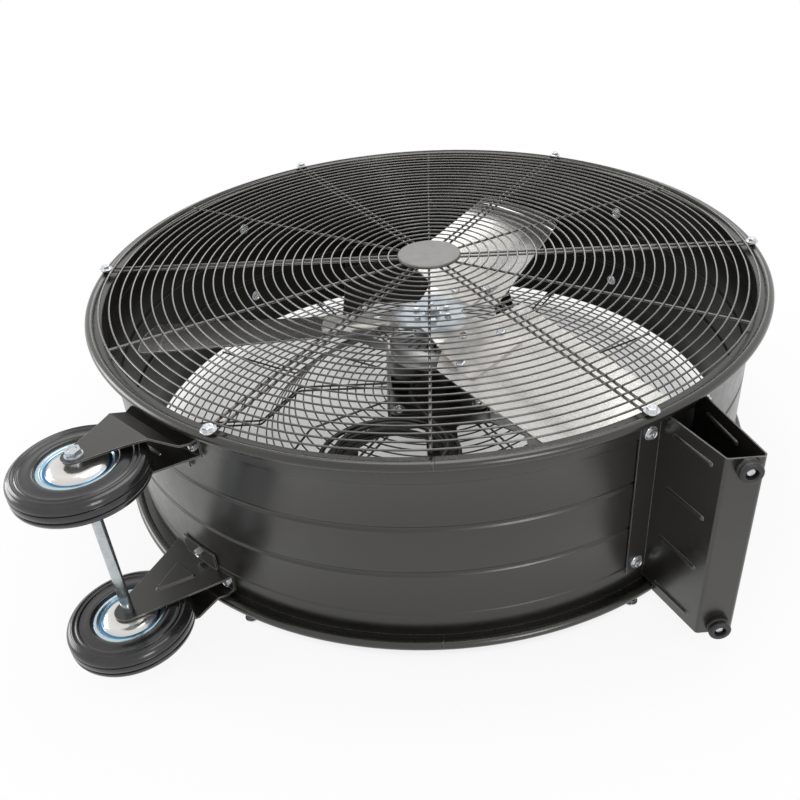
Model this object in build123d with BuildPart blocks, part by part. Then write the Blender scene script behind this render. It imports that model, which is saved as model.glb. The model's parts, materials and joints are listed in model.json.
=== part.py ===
from build123d import *

import os
from math import asin, atan2, cos, degrees, hypot, radians, sin, tan

os.makedirs("parts", exist_ok=True)

# Drum fan lying on its rear side. Sizes are in millimetres and angles in degrees.
# The drum's axis is +Z. In use the fan stands on its wheels and stand, with -Y down.

# Rolled drum
DRUM_RADIUS = 554  # outer face of the wall
SHEET = 1.5
RIM_DEPTH = 326  # from the middle of one rolled rim to the middle of the other
RIM_RADIUS = DRUM_RADIUS + 18.5
RIM_TUBE = 7.5
REAR_RIM_Z = 29
BAND_STEP = 1.5  # the wall is this much larger towards the rims
BAND_FROM_MIDDLE = 119.5
GROOVE_FROM_MIDDLE = 41.8
GROOVE_WIDTH = 10
GROOVE_DEPTH = 2.5
FRONT_RIM_Z = REAR_RIM_Z + RIM_DEPTH
MIDDLE_Z = REAR_RIM_Z + RIM_DEPTH / 2
WALL_GAP = 0.1
SEAT_RADIUS = DRUM_RADIUS + BAND_STEP + WALL_GAP  # what is bolted on the drum lies on its end bands

# Wire guards
SPOKE_WIRE = 4.2
RING_WIRE = 3.0
RING_PITCH = 16.7
FIRST_RING_RADIUS = 72
LAST_RING_RADIUS = RIM_RADIUS - 15.5
SPOKE_ANGLE = -2.8  # first double spoke
SPOKE_INNER_RADIUS = 48
DOUBLE_SPOKES = 6
GUARD_BOLT_RADIUS = RIM_RADIUS - 2.5
GUARD_BOLT_LENGTH = 10
GUARD_PLATE_RADIUS = 56
GUARD_PLATE_SHEET = 1.5
GUARD_PLATE_EDGE = 3
FRONT_SPOKE_Z = FRONT_RIM_Z + RIM_TUBE + SPOKE_WIRE / 2
REAR_SPOKE_Z = REAR_RIM_Z - RIM_TUBE - SPOKE_WIRE / 2
REAR_DISH_DEPTH = 76
REAR_DISH_RADIUS = 263
REAR_DISH_FOOT_RADIUS = 350
WIRE_BEND = 14

# Fasteners: across flats, head height, washer radius and thickness, shank radius
BOLT_FLATS = 13
BOLT_HEAD = 5.3
BOLT_SHANK = 4
NUT = 6.5
CLINCH_NUT = 2.2
WASHER_RADIUS = 11
WASHER = 1.6
HOLE_CLEARANCE = 0.3
SEAT_GAP = 0.05

# Motor
MOTOR_RADIUS = 86
MOTOR_SHEET = 3
MOTOR_FRONT_Z = 179  # where the steel body ends and the vented end bell begins
BELL_RADIUS = 82
BELL_HEIGHT = 36
BELL_WALL = 4
BELL_SLOTS = 24
BELL_SLOT_WIDTH = 5
MOUNT_Z = 101
MOUNT_SHEET = 3
MOUNT_HALF_WIDTH = 93
MOUNT_WAIST = 118  # half length of the narrow middle
MOUNT_FLARE = 188  # half width where the mount has reached its full width
MOUNT_FLARE_Y = 196
MOUNT_FLANGE = 26
WINDOW_INNER_X = 28
WINDOW_START_Y = 150
WINDOW_END_Y = 330
WINDOW_EDGE = 42  # sheet left outside each lightening hole
WINDOW_CORNER = 12
MOTOR_BASE = 4
MOTOR_BOLT_X = 72
MOTOR_BOLT_Y = 98
SHAFT_RADIUS = 10
SHAFT_GAP = 0.05
BEARING_RADIUS = 23.5
BEARING_WIDTH = 14
STATOR_INNER_RADIUS = 50
STATOR_HEIGHT = 44
STATOR_FROM_BASE = 42
ROTOR_HEIGHT = 40
AIR_GAP = 0.5

# Impeller
TIP_RADIUS = DRUM_RADIUS - 38
BLADES = 3
BLADE_ANGLE = 61  # first blade
BLADE_SHIFT = 19.5  # the blades' middle line, along the chord from the arms' middle line
BLADE_SHEET = 3
BLADE_TONGUE = 82  # where the blade begins, under its arm
BLADE_TONGUE_WIDTH = 60
BLADE_NECK = 95  # where it comes out from under the arm
BLADE_NECK_WIDTH = 98
BLADE_SHOULDER = 122
BLADE_CHORD = 200  # at the shoulder
BLADE_FLAT_END = 204
BLADE_TIP_CHORD = 178
ROOT_PITCH = 18.5
TIP_PITCH = 13.5
TIP_RUN_OUT = 30  # the blade is formed past its tip and then cut round
TIP_CAMBER = 7
TIP_CORNER = 16
SPIDER_SHEET = 4
SPIDER_Z = 245
SPIDER_CORNER = 12
ARM_NECK = 50  # the arms are flat up to here, and lie on the blades from the next
ARM_TWIST_END = 80
ARM_WIDTH = 90
ARM_END = 200
ARM_END_WIDTH = 122
ARM_CORNER = 12
HUB_FLANGE_RADIUS = 42
HUB_RADIUS = 27
HUB_FLANGE = 8
HUB_HEIGHT = 22
HUB_BOLT_CIRCLE = 32
HUB_BOLTS = 6
HUB_BOLT_SHANK = 3
HUB_BOLT_FLATS = 10
HUB_BOLT_HEAD = 4
HUB_WASHER_RADIUS = 6.5
SHAFT_WASHER_RADIUS = 16
SHAFT_WASHER = 2.5
SHAFT_NUT_FLATS = 24
SHAFT_NUT = 8
RIVET_RADIUS = 5
RIVET_HEAD_RADIUS = 9
RIVET_HEAD = 4
RIVETS = ((100, 0), (152, -46), (152, 46))  # radius, and place along the chord from the arm's middle

# Wheels
WHEEL_ANGLE = -134.3
AXLE_RADIUS_FROM_AXIS = DRUM_RADIUS + 133
UPPER_WHEEL_Z = 321
LOWER_WHEEL_Z = 39.8
WHEEL_RADIUS = 89.5
WHEEL_WIDTH = 41
TYRE_INNER_RADIUS = 52
TYRE_EDGE = 5
TYRE_BEAD_WIDTH = 7
TYRE_BEAD_STEP = 2
TYRE_SHOULDER = 17  # width of the outer sidewall and edge
TYRE_SHOULDER_STEP = 2
TREAD_GROOVE_FROM_MIDDLE = 4
TREAD_GROOVE_WIDTH = 5
TREAD_GROOVE_DEPTH = 3
TREAD_GROOVE_DRAFT = 1
WHEEL_RIM_SHEET = 2
WHEEL_RIM_SINK = 4.5  # the flange lies this far inside the tyre's sidewall
WHEEL_RIM_FLANGE = 6
WHEEL_RIM_WELL = 3
WHEEL_RIM_DOME = 4.5
DOME_TOP_RADIUS = 24
DOME_FOOT_RADIUS = 39.5
DRAIN_HOLE_RADIUS = 2
DRAIN_HOLES = 4
HUB_BUSH_RADIUS = 9
END_PLAY = 0.15
AXLE = 6
AXLE_GAP = 0.05
AXLE_TUBE_RADIUS = 8
AXLE_NUT = 7.5
AXLE_NUT_FLATS = 19

# Wheel brackets
ARM_SHEET = 3
INNER_ARM_Z = 21.7  # from the wheel's middle plane to the near face
OUTER_ARM_Z = 27.7
UPPER_BASE_Z = 8.5  # from the wheel's middle plane to the far face of the outer arm's base
LOWER_BASE_Z = 2.7
BRACKET_HALF_WIDTH = 70
BRACKET_BOLT_V = 58
BRACKET_TAB_WIDTH = 76
BRACKET_TAB_HEIGHT = 30
ARM_END_RADIUS = 20
OUTER_END_RADIUS = 17
BEND_START = DRUM_RADIUS + 25
BEND_END = DRUM_RADIUS + 55
BRACKET_SHOULDER = 12  # the full width ends this far before the first bend
BRACKET_BEND_WIDTH = 92
BRACKET_NECK_WIDTH = 68
BRACKET_NECK = 28  # beyond the second bend
PRESSING_TIP = DRUM_RADIUS + 94
PRESSING_BASE = DRUM_RADIUS + 29
PRESSING_WIDTH = 52
PRESSING_CORNER = 5
PRESSING_TAPER = 45
PRESSING_HEIGHT = 3

# Stand
STAND_FACE_Y = -DRUM_RADIUS - 34
STAND_LEFT_X = DRUM_RADIUS - 220
STAND_RIGHT_X = DRUM_RADIUS - 166
STAND_BOTTOM_Z = 28
STAND_TOP_Z = 345
STAND_SHEET = 2
STAND_LEFT_ANGLE = -59.3  # where the side walls meet the drum
STAND_RIGHT_ANGLE = -51.2
FLANGE_BOTTOM_Z = 62
FLANGE_TOP_Z = 333
FLANGE_WIDTH = 36
FLANGE_BOLT_INSET = 16
PAD_RADIUS = 16.5
PAD_HEIGHT = 15
PAD_X = DRUM_RADIUS - 191
PAD_INSET = 15.5
PAD_RECESS_RADIUS = 8.5
PAD_RECESS = 9
PAD_EDGE = 2
PAD_SCREW = 3
PAD_SCREW_HEAD = 4
PAD_SCREW_HEAD_RADIUS = 5.2
PAD_NUT_FLATS = 10
PAD_NUT = 5
BEAD_HEIGHTS = (48, 139, 230, 321)
BEAD_START = 31
BEAD_END = 97
BEAD_RADIUS = 4

# Handles and switch on the far side
HANDLE_ANGLES = (134.9, 39.7)
HANDLE_SPAN = 163
HANDLE_HEIGHT = 48
HANDLE_TUBE = 9
HANDLE_BEND = 26
HANDLE_PLATE_RADIUS = 17
HANDLE_PLATE = 3
HANDLE_TAPPING = 18
SWITCH_ANGLE = 87.2
SWITCH_WIDTH = 92
SWITCH_LENGTH = 100
SWITCH_HEIGHT = 46
SWITCH_WALL = 2.5
SWITCH_EAR = 16
SWITCH_EAR_WIDTH = 36
SWITCH_SCREW = 2.5
SWITCH_SCREW_FLATS = 8
SWITCH_SCREW_HEAD = 3.5
SWITCH_CORNER = 8
KNOB_RADIUS = 19
KNOB_HEIGHT = 18
KNOB_SKIRT = 5
KNOB_GRIP_WIDTH = 12
KNOB_GRIP_END = 6
KNOB_TAPER = 4
KNOB_STEM = 4
KNOB_STEM_LENGTH = 14
KNOB_GAP = 0.5
GLAND_STEM = 8
GLAND_RADIUS = 11
GLAND_NUT = 7
GLAND_LENGTH = 22
GLAND_TAPER = 14


def polar(radius, angle):
    """A point of the plan at this distance from the drum's axis."""
    return radius * cos(radians(angle)), radius * sin(radians(angle))


def radial_plane(radius, angle, z):
    """A plane across the radius, facing away from the axis, with its Y along the drum's axis."""
    out = (*polar(1, angle), 0)
    return Plane(origin=(*polar(radius, angle), z), x_dir=(-out[1], out[0], 0), z_dir=out)


def save(builder, name):
    """Labels a finished piece and writes it."""
    builder.part.label = name
    export_step(builder.part, f"parts/{name}.step")


def hex_bolt(shank, length, flats=BOLT_FLATS, head=BOLT_HEAD, washer=WASHER_RADIUS, grip=None, nut=NUT):
    """A bolt seated on the XY plane, its shank below, with a washer and a nut below the grip."""
    head_z = WASHER if washer else 0
    with BuildPart() as bolt:
        if washer:
            Cylinder(washer, WASHER, align=(Align.CENTER, Align.CENTER, Align.MIN))
        with BuildSketch(Plane.XY.offset(head_z)):
            RegularPolygon(flats / 2, 6, major_radius=False)
        extrude(amount=head)
        if grip:
            with BuildSketch(Plane.XY.offset(-grip)):
                RegularPolygon(flats / 2, 6, major_radius=False)
            extrude(amount=-nut)
        Cylinder(shank, length, align=(Align.CENTER, Align.CENTER, Align.MAX))
    return bolt.part


def bolts_at(planes, bolt):
    """One group of like bolts, each seated on its plane."""
    with BuildPart() as group:
        with Locations(*[plane.location for plane in planes]):
            add(bolt)
    return group


# ---- drum ----

def wall_line(inset):
    """Draws one face of the wall's section, from its rear edge to its front edge."""
    band = DRUM_RADIUS + BAND_STEP - inset
    wall = DRUM_RADIUS - inset
    low_groove = MIDDLE_Z - GROOVE_FROM_MIDDLE
    high_groove = MIDDLE_Z + GROOVE_FROM_MIDDLE
    half = GROOVE_WIDTH / 2
    bottom = [
        (band, REAR_RIM_Z + SHEET / 2 + WALL_GAP),
        (band, MIDDLE_Z - BAND_FROM_MIDDLE - BAND_STEP),
        (wall, MIDDLE_Z - BAND_FROM_MIDDLE),
        (wall, low_groove - half),
    ]
    top = [(r, 2 * MIDDLE_Z - z) for r, z in reversed(bottom)]
    Polyline(*bottom)
    for middle in (low_groove, high_groove):
        ThreePointArc((wall, middle - half), (wall - GROOVE_DEPTH, middle), (wall, middle + half))
    Line((wall, low_groove + half), (wall, high_groove - half))
    Polyline(*top)
    return bottom[0], top[-1]


def drum_shell():
    with BuildPart() as shell:
        with BuildSketch(Plane.XZ):
            with BuildLine():
                outer_rear, outer_front = wall_line(0)
                inner_rear, inner_front = wall_line(SHEET)
                Line(outer_rear, inner_rear)
                Line(outer_front, inner_front)
            make_face()
        revolve(axis=Axis.Z)
        # holes through the wall for what is bolted to it
        with Locations(*[plane.location for plane in wall_bolt_planes()]):
            Cylinder(BOLT_SHANK + HOLE_CLEARANCE, 6 * NUT, mode=Mode.SUBTRACT)
    save(shell, "drum_shell")


def drum_rim(z, way, name):
    """A tube rolled round the drum's edge, with the ledge that joins it to the wall."""
    inner = DRUM_RADIUS + BAND_STEP - SHEET
    with BuildPart() as rim:
        with BuildSketch(Plane.XZ):
            with Locations((RIM_RADIUS, z)):
                Circle(RIM_TUBE)
            with Locations(((inner + RIM_RADIUS) / 2, z)):
                Rectangle(RIM_RADIUS - inner, SHEET)
            with Locations((RIM_RADIUS, z)):
                Circle(RIM_TUBE - SHEET, mode=Mode.SUBTRACT)
        revolve(axis=Axis.Z)
        # holes for the guard bolts, through the crest
        with BuildSketch(Plane.XY.offset(z)):
            with PolarLocations(GUARD_BOLT_RADIUS, DOUBLE_SPOKES, start_angle=SPOKE_ANGLE):
                Circle(BOLT_SHANK + HOLE_CLEARANCE)
        extrude(amount=way * RIM_TUBE, mode=Mode.SUBTRACT)
    save(rim, name)


def stand_bolt_planes():
    """Where the stand's flanges are bolted to the drum."""
    zs = (FLANGE_BOTTOM_Z + FLANGE_BOLT_INSET, FLANGE_TOP_Z - FLANGE_BOLT_INSET)
    half_flange = degrees(FLANGE_WIDTH / 2 / SEAT_RADIUS)
    angles = (STAND_LEFT_ANGLE - half_flange, STAND_RIGHT_ANGLE + half_flange)
    return [radial_plane(SEAT_RADIUS + STAND_SHEET, angle, z) for angle in angles for z in zs]


def bracket_bolt_planes(wheel_z, side, base):
    """Where a wheel bracket's web and tab are bolted to the drum."""
    web_z = wheel_z + side * (base - ARM_SHEET - INNER_ARM_Z) / 2
    tab_z = wheel_z - side * (INNER_ARM_Z + ARM_SHEET + BRACKET_TAB_HEIGHT / 2)
    turn = degrees(asin(BRACKET_BOLT_V / SEAT_RADIUS))
    radius = SEAT_RADIUS + ARM_SHEET
    planes = [radial_plane(radius, WHEEL_ANGLE + way * turn, web_z) for way in (-1, 1)]
    return planes + [radial_plane(radius, WHEEL_ANGLE, tab_z)]


def all_bracket_bolt_planes():
    upper = bracket_bolt_planes(UPPER_WHEEL_Z, 1, UPPER_BASE_Z)
    return upper + bracket_bolt_planes(LOWER_WHEEL_Z, -1, LOWER_BASE_Z)


def handle_bolt_planes():
    """Where the handles are bolted from inside the drum."""
    planes = []
    for angle in HANDLE_ANGLES:
        for z in (MIDDLE_Z - HANDLE_SPAN / 2, MIDDLE_Z + HANDLE_SPAN / 2):
            x, y = polar(DRUM_RADIUS - SHEET - 2 * WALL_GAP, angle)
            planes.append(Plane(origin=(x, y, z), x_dir=(0, 0, 1), z_dir=(-x, -y, 0)))
    return planes


def switch_screw_planes():
    """Where the switch box is screwed to the drum, beyond both of its ends."""
    reach = SWITCH_LENGTH / 2 + SWITCH_EAR / 2
    radius = DRUM_RADIUS + WALL_GAP + SWITCH_WALL
    return [radial_plane(radius, SWITCH_ANGLE, MIDDLE_Z + way * reach) for way in (-1, 1)]


def wall_bolt_planes():
    return stand_bolt_planes() + all_bracket_bolt_planes() + handle_bolt_planes() + switch_screw_planes()


# ---- guards ----

def ring_radii(first, last):
    """Evenly pitched ring radii, from the first one out and none past the last."""
    count = int((last - first) / RING_PITCH) + 1
    return [first + index * RING_PITCH for index in range(count)]


def rings(places, name):
    """Welded rings of wire: each place is a radius, a height and the tilt of its seat."""
    with BuildPart() as wires:
        with BuildSketch(Plane.XZ):
            for radius, z, tilt in places:
                with Locations((radius, z)):
                    RegularPolygon(RING_WIRE / 2, 6, major_radius=False, rotation=tilt)
        revolve(axis=Axis.Z)
    save(wires, name)


def front_guard():
    ring_z = FRONT_SPOKE_Z + SPOKE_WIRE / 2 + RING_WIRE / 2
    places = [(r, ring_z, 0) for r in ring_radii(FIRST_RING_RADIUS, LAST_RING_RADIUS)]
    rings(places, "front_guard_rings")
    spokes([(SPOKE_INNER_RADIUS, FRONT_SPOKE_Z)], FRONT_SPOKE_Z, places[-1][0], "front_guard_spokes")
    # the centre plate is a shallow pan, turned down at its edge on to the spokes
    seat = FRONT_SPOKE_Z + SPOKE_WIRE / 2
    with BuildPart() as plate:
        with BuildSketch(Plane.XY.offset(seat)):
            Circle(GUARD_PLATE_RADIUS)
        extrude(amount=RING_WIRE + GUARD_PLATE_SHEET)
        fillet(plate.edges().group_by(Axis.Z)[-1], GUARD_PLATE_EDGE)
        with BuildSketch(Plane.XY.offset(seat)):
            Circle(GUARD_PLATE_RADIUS - GUARD_PLATE_SHEET)
        extrude(amount=RING_WIRE, mode=Mode.SUBTRACT)
    save(plate, "front_guard_plate")
    planes = [Plane(origin=(*polar(GUARD_BOLT_RADIUS, angle), seat)) for angle in double_angles()]
    save(bolts_at(planes, hex_bolt(BOLT_SHANK, GUARD_BOLT_LENGTH)), "front_guard_bolts")


def rear_guard():
    """The rear guard is dished into the drum, round the motor."""
    dish_z = REAR_SPOKE_Z + REAR_DISH_DEPTH
    run = REAR_DISH_FOOT_RADIUS - REAR_DISH_RADIUS
    slope = hypot(run, REAR_DISH_DEPTH)
    out_r, out_z = -REAR_DISH_DEPTH / slope, -run / slope
    reach = SPOKE_WIRE / 2 + RING_WIRE / 2
    raised = [(r, dish_z - reach, 0) for r in ring_radii(FIRST_RING_RADIUS, REAR_DISH_RADIUS - RING_WIRE)]
    cone = []
    count = round(slope / RING_PITCH) - 1
    for index in range(count):
        share = (index + 1) / (count + 1)
        r = REAR_DISH_RADIUS + run * share + out_r * reach
        z = dish_z - REAR_DISH_DEPTH * share + out_z * reach
        cone.append((r, z, -degrees(atan2(REAR_DISH_DEPTH, run))))
    rim = [(r, REAR_SPOKE_Z - reach, 0) for r in ring_radii(REAR_DISH_FOOT_RADIUS + 6, LAST_RING_RADIUS)]
    rings(raised, "rear_middle_rings")
    rings(cone, "rear_dish_rings")
    rings(rim, "rear_guard_rings")
    corners = [(SPOKE_INNER_RADIUS, dish_z), (REAR_DISH_RADIUS, dish_z),
               (REAR_DISH_FOOT_RADIUS, REAR_SPOKE_Z)]
    spokes(corners, REAR_SPOKE_Z, rim[-1][0], "rear_guard_spokes")
    # the centre ring closes the spokes' inner ends
    with BuildPart() as centre:
        with BuildSketch(Plane.XY.offset(dish_z - SPOKE_WIRE / 2)):
            Circle(GUARD_PLATE_RADIUS)
            Circle(SPOKE_INNER_RADIUS - 6, mode=Mode.SUBTRACT)
        extrude(amount=-GUARD_PLATE_SHEET)
    save(centre, "rear_guard_plate")
    under = REAR_SPOKE_Z - SPOKE_WIRE / 2
    planes = []
    for angle in double_angles():
        x, y = polar(GUARD_BOLT_RADIUS, angle)
        planes.append(Plane(origin=(x, y, under), x_dir=(1, 0, 0), z_dir=(0, 0, -1)))
    save(bolts_at(planes, hex_bolt(BOLT_SHANK, GUARD_BOLT_LENGTH)), "rear_guard_bolts")


def double_angles():
    return [SPOKE_ANGLE + index * 360 / DOUBLE_SPOKES for index in range(DOUBLE_SPOKES)]


def spoke_leg(corners, end_radius, end_z, lateral):
    """One straight or dished wire from the guard's middle to its rim."""
    points = corners + [(end_radius, end_z)]
    plane = Plane(origin=(0, lateral, 0), x_dir=(1, 0, 0), z_dir=(0, -1, 0))
    with BuildPart() as leg:
        with BuildLine(plane) as path:
            if len(points) > 2:
                FilletPolyline(*points, radius=WIRE_BEND)
            else:
                Line(*points)
        with BuildSketch(Plane(origin=path.line @ 0, z_dir=path.line % 0)):
            Circle(SPOKE_WIRE / 2)
        sweep()
    return leg.part


def spokes(corners, rim_z, single_end, name):
    """Double spokes, looped round their bolts, and single spokes between them."""
    loop = BOLT_SHANK + HOLE_CLEARANCE + SPOKE_WIRE / 2
    with BuildPart() as hairpin:
        add(spoke_leg(corners, GUARD_BOLT_RADIUS, rim_z, loop))
        add(spoke_leg(corners, GUARD_BOLT_RADIUS, rim_z, -loop))
        with BuildSketch(Plane(origin=(GUARD_BOLT_RADIUS, 0, rim_z), x_dir=(0, 1, 0), z_dir=(1, 0, 0))):
            with Locations((-loop, 0)):
                Circle(SPOKE_WIRE / 2)
        revolve(axis=Axis((GUARD_BOLT_RADIUS, 0, rim_z), (0, 0, 1)), revolution_arc=180)
    single = spoke_leg(corners, single_end, rim_z, 0)
    with BuildPart() as wires:
        with PolarLocations(0, DOUBLE_SPOKES, start_angle=SPOKE_ANGLE):
            add(hairpin.part)
        with PolarLocations(0, DOUBLE_SPOKES, start_angle=SPOKE_ANGLE + 180 / DOUBLE_SPOKES):
            add(single)
    save(wires, name)


# ---- motor ----

def mount_outline():
    """The plate's plan: a narrow middle and wide ends that run out to the drum."""
    quarter = [(MOUNT_HALF_WIDTH, 0), (MOUNT_HALF_WIDTH, MOUNT_WAIST), (MOUNT_FLARE, MOUNT_FLARE_Y),
               (MOUNT_FLARE, DRUM_RADIUS)]
    upper = quarter + [(-x, y) for x, y in reversed(quarter)]
    lower = [(x, -y) for x, y in reversed(upper[1:-1])]
    return upper + lower


def motor_mount():
    inside = DRUM_RADIUS - SHEET - SEAT_GAP
    with BuildPart() as mount:
        with BuildSketch(Plane.XY.offset(MOUNT_Z)):
            with BuildLine():
                Polyline(*mount_outline(), close=True)
            make_face()
            Circle(inside, mode=Mode.INTERSECT)
            # two lightening holes in each wide end
            outer_x = MOUNT_FLARE - WINDOW_EDGE
            slant = (MOUNT_FLARE_Y - MOUNT_WAIST) / (MOUNT_FLARE - MOUNT_HALF_WIDTH)
            shoulder_x = outer_x - (MOUNT_FLARE_Y - WINDOW_START_Y) / slant
            hole = [(WINDOW_INNER_X, WINDOW_START_Y), (shoulder_x, WINDOW_START_Y),
                    (outer_x, MOUNT_FLARE_Y), (outer_x, WINDOW_END_Y), (WINDOW_INNER_X, WINDOW_END_Y)]
            for side_x in (-1, 1):
                for side_y in (-1, 1):
                    with BuildSketch(mode=Mode.PRIVATE) as window:
                        with BuildLine():
                            Polyline(*[(side_x * x, side_y * y) for x, y in hole], close=True)
                        make_face()
                        fillet(window.vertices(), WINDOW_CORNER)
                    add(window.sketch, mode=Mode.SUBTRACT)
        extrude(amount=MOUNT_SHEET)
        # flanges along the edges of the narrow middle
        with BuildSketch(Plane.XY.offset(MOUNT_Z)):
            for side in (-1, 1):
                with Locations((side * (MOUNT_HALF_WIDTH - MOUNT_SHEET / 2), 0)):
                    Rectangle(MOUNT_SHEET, 2 * MOUNT_WAIST)
        extrude(amount=MOUNT_FLANGE)
        # curved end flanges on the drum wall
        with BuildSketch(Plane.XY.offset(MOUNT_Z)):
            Circle(inside)
            Circle(inside - MOUNT_SHEET, mode=Mode.SUBTRACT)
            Rectangle(2 * MOUNT_FLARE, 3 * DRUM_RADIUS, mode=Mode.INTERSECT)
        extrude(amount=MOUNT_FLANGE)
        with BuildSketch(Plane.XY.offset(MOUNT_Z)):
            with GridLocations(2 * MOTOR_BOLT_X, 2 * MOTOR_BOLT_Y, 2, 2):
                Circle(BOLT_SHANK + HOLE_CLEARANCE)
        extrude(amount=MOUNT_SHEET, mode=Mode.SUBTRACT)
    save(mount, "motor_mount")


def motor():
    base_z = MOUNT_Z + MOUNT_SHEET
    body_z = base_z + MOTOR_BASE
    bore = SHAFT_RADIUS + SHAFT_GAP
    seat = BEARING_RADIUS + SEAT_GAP
    bearing_z = body_z + 6
    with BuildPart() as base:
        with BuildSketch(Plane.XY.offset(base_z)):
            RectangleRounded(2 * (MOUNT_HALF_WIDTH - MOUNT_SHEET - 2), 2 * (MOTOR_BOLT_Y + 16), 10)
            with GridLocations(2 * MOTOR_BOLT_X, 2 * MOTOR_BOLT_Y, 2, 2):
                Circle(BOLT_SHANK + HOLE_CLEARANCE, mode=Mode.SUBTRACT)
        extrude(amount=MOTOR_BASE)
        # turned register for the body and seat for the rear bearing
        with BuildSketch(Plane.XY.offset(body_z)):
            Circle(MOTOR_RADIUS - MOTOR_SHEET - SEAT_GAP)
            Circle(MOTOR_RADIUS - 3 * MOTOR_SHEET, mode=Mode.SUBTRACT)
        extrude(amount=6)
        with BuildSketch(Plane.XY.offset(body_z)):
            Circle(seat + 6)
        extrude(amount=6 + BEARING_WIDTH)
        with BuildSketch(Plane.XY.offset(bearing_z)):
            Circle(seat)
        extrude(amount=BEARING_WIDTH, mode=Mode.SUBTRACT)
        with BuildSketch(Plane.XY.offset(base_z + 1.5)):
            Circle(SHAFT_RADIUS + 3)
        extrude(amount=bearing_z - base_z, mode=Mode.SUBTRACT)
    save(base, "motor_base")

    with BuildPart() as shell:
        with BuildSketch(Plane.XY.offset(body_z)):
            Circle(MOTOR_RADIUS)
            Circle(MOTOR_RADIUS - MOTOR_SHEET, mode=Mode.SUBTRACT)
        extrude(amount=MOTOR_FRONT_Z - body_z)
    save(shell, "motor_shell")

    # the front end bell: a domed cup with radial vents and a bearing boss
    top_z = MOTOR_FRONT_Z + BELL_HEIGHT
    shoulder = MOTOR_FRONT_Z + BELL_HEIGHT * 0.42
    front_bearing_z = top_z - 7 - BEARING_WIDTH
    with BuildPart() as bell:
        with BuildSketch(Plane.XZ):
            with BuildLine():
                Polyline((MOTOR_RADIUS, MOTOR_FRONT_Z), (MOTOR_RADIUS, MOTOR_FRONT_Z + 5),
                         (BELL_RADIUS, MOTOR_FRONT_Z + 5), (BELL_RADIUS, shoulder))
                RadiusArc((BELL_RADIUS, shoulder), (BELL_RADIUS - 18, top_z - 6), -22)
                Polyline((BELL_RADIUS - 18, top_z - 6), (BEARING_RADIUS + 12, top_z - 4),
                         (BEARING_RADIUS + 8, top_z), (bore + 2, top_z), (bore + 2, top_z - 7),
                         (seat, top_z - 7), (seat, front_bearing_z), (seat + 6, front_bearing_z),
                         (seat + 6, top_z - 4 - BELL_WALL),
                         (BELL_RADIUS - 18 - BELL_WALL / 2, top_z - 6 - BELL_WALL))
                RadiusArc((BELL_RADIUS - 18 - BELL_WALL / 2, top_z - 6 - BELL_WALL),
                          (BELL_RADIUS - BELL_WALL, shoulder), 20)
                Polyline((BELL_RADIUS - BELL_WALL, shoulder), (BELL_RADIUS - BELL_WALL, MOTOR_FRONT_Z),
                         (MOTOR_RADIUS, MOTOR_FRONT_Z))
            make_face()
        revolve(axis=Axis.Z)
        with BuildSketch(Plane.XY.offset(top_z)):
            with PolarLocations((BEARING_RADIUS + 14 + BELL_RADIUS - 14) / 2, BELL_SLOTS):
                SlotOverall(BELL_RADIUS - BEARING_RADIUS - 28, BELL_SLOT_WIDTH)
        extrude(amount=-BELL_HEIGHT / 2, mode=Mode.SUBTRACT)
    save(bell, "motor_end_bell")

    middle = body_z + STATOR_FROM_BASE
    outer = MOTOR_RADIUS - MOTOR_SHEET - SEAT_GAP
    with BuildPart() as stator:
        with BuildSketch(Plane.XY.offset(middle - STATOR_HEIGHT / 2)):
            Circle(outer)
            Circle(STATOR_INNER_RADIUS, mode=Mode.SUBTRACT)
        extrude(amount=STATOR_HEIGHT)
        # the windings stand out of both ends of the core
        with BuildSketch(Plane.XZ):
            for side in (-1, 1):
                with Locations(((outer + STATOR_INNER_RADIUS) / 2, middle + side * (STATOR_HEIGHT / 2 + 2))):
                    RectangleRounded(outer - STATOR_INNER_RADIUS - 12, 12, 4)
        revolve(axis=Axis.Z)
    save(stator, "motor_stator")

    with BuildPart() as rotor:
        with BuildSketch(Plane.XY.offset(middle - ROTOR_HEIGHT / 2)):
            Circle(STATOR_INNER_RADIUS - AIR_GAP)
            Circle(SHAFT_RADIUS + SEAT_GAP, mode=Mode.SUBTRACT)
        extrude(amount=ROTOR_HEIGHT)
    save(rotor, "motor_rotor")

    for name, z in (("rear_bearing", bearing_z), ("front_bearing", front_bearing_z)):
        with BuildPart() as bearing:
            with BuildSketch(Plane.XY.offset(z)):
                Circle(BEARING_RADIUS)
                Circle(bore, mode=Mode.SUBTRACT)
            extrude(amount=BEARING_WIDTH - SEAT_GAP)
            with BuildSketch(Plane.XY.offset(z + BEARING_WIDTH - SEAT_GAP)):
                Circle(BEARING_RADIUS - 3)
                Circle(bore + 3, mode=Mode.SUBTRACT)
            extrude(amount=-1.5, mode=Mode.SUBTRACT)
            chamfer(bearing.edges().filter_by(GeomType.CIRCLE).sort_by(SortBy.RADIUS)[-2:], 0.8)
        save(bearing, name)

    shaft_bottom = bearing_z
    shaft_top = SPIDER_Z + SPIDER_SHEET + SHAFT_WASHER + SHAFT_NUT + 3
    with BuildPart() as shaft:
        with Locations((0, 0, shaft_bottom)):
            Cylinder(SHAFT_RADIUS, shaft_top - shaft_bottom, align=(Align.CENTER, Align.CENTER, Align.MIN))
        chamfer(shaft.edges().group_by(Axis.Z)[-1], 1.5)
    save(shaft, "motor_shaft")

    planes = []
    for x in (-MOTOR_BOLT_X, MOTOR_BOLT_X):
        for y in (-MOTOR_BOLT_Y, MOTOR_BOLT_Y):
            planes.append(Plane(origin=(x, y, body_z)))
    grip = MOTOR_BASE + MOUNT_SHEET
    bolt = hex_bolt(BOLT_SHANK, grip + CLINCH_NUT, grip=grip, nut=CLINCH_NUT)
    save(bolts_at(planes, bolt), "motor_bolts")


# ---- impeller ----

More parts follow.
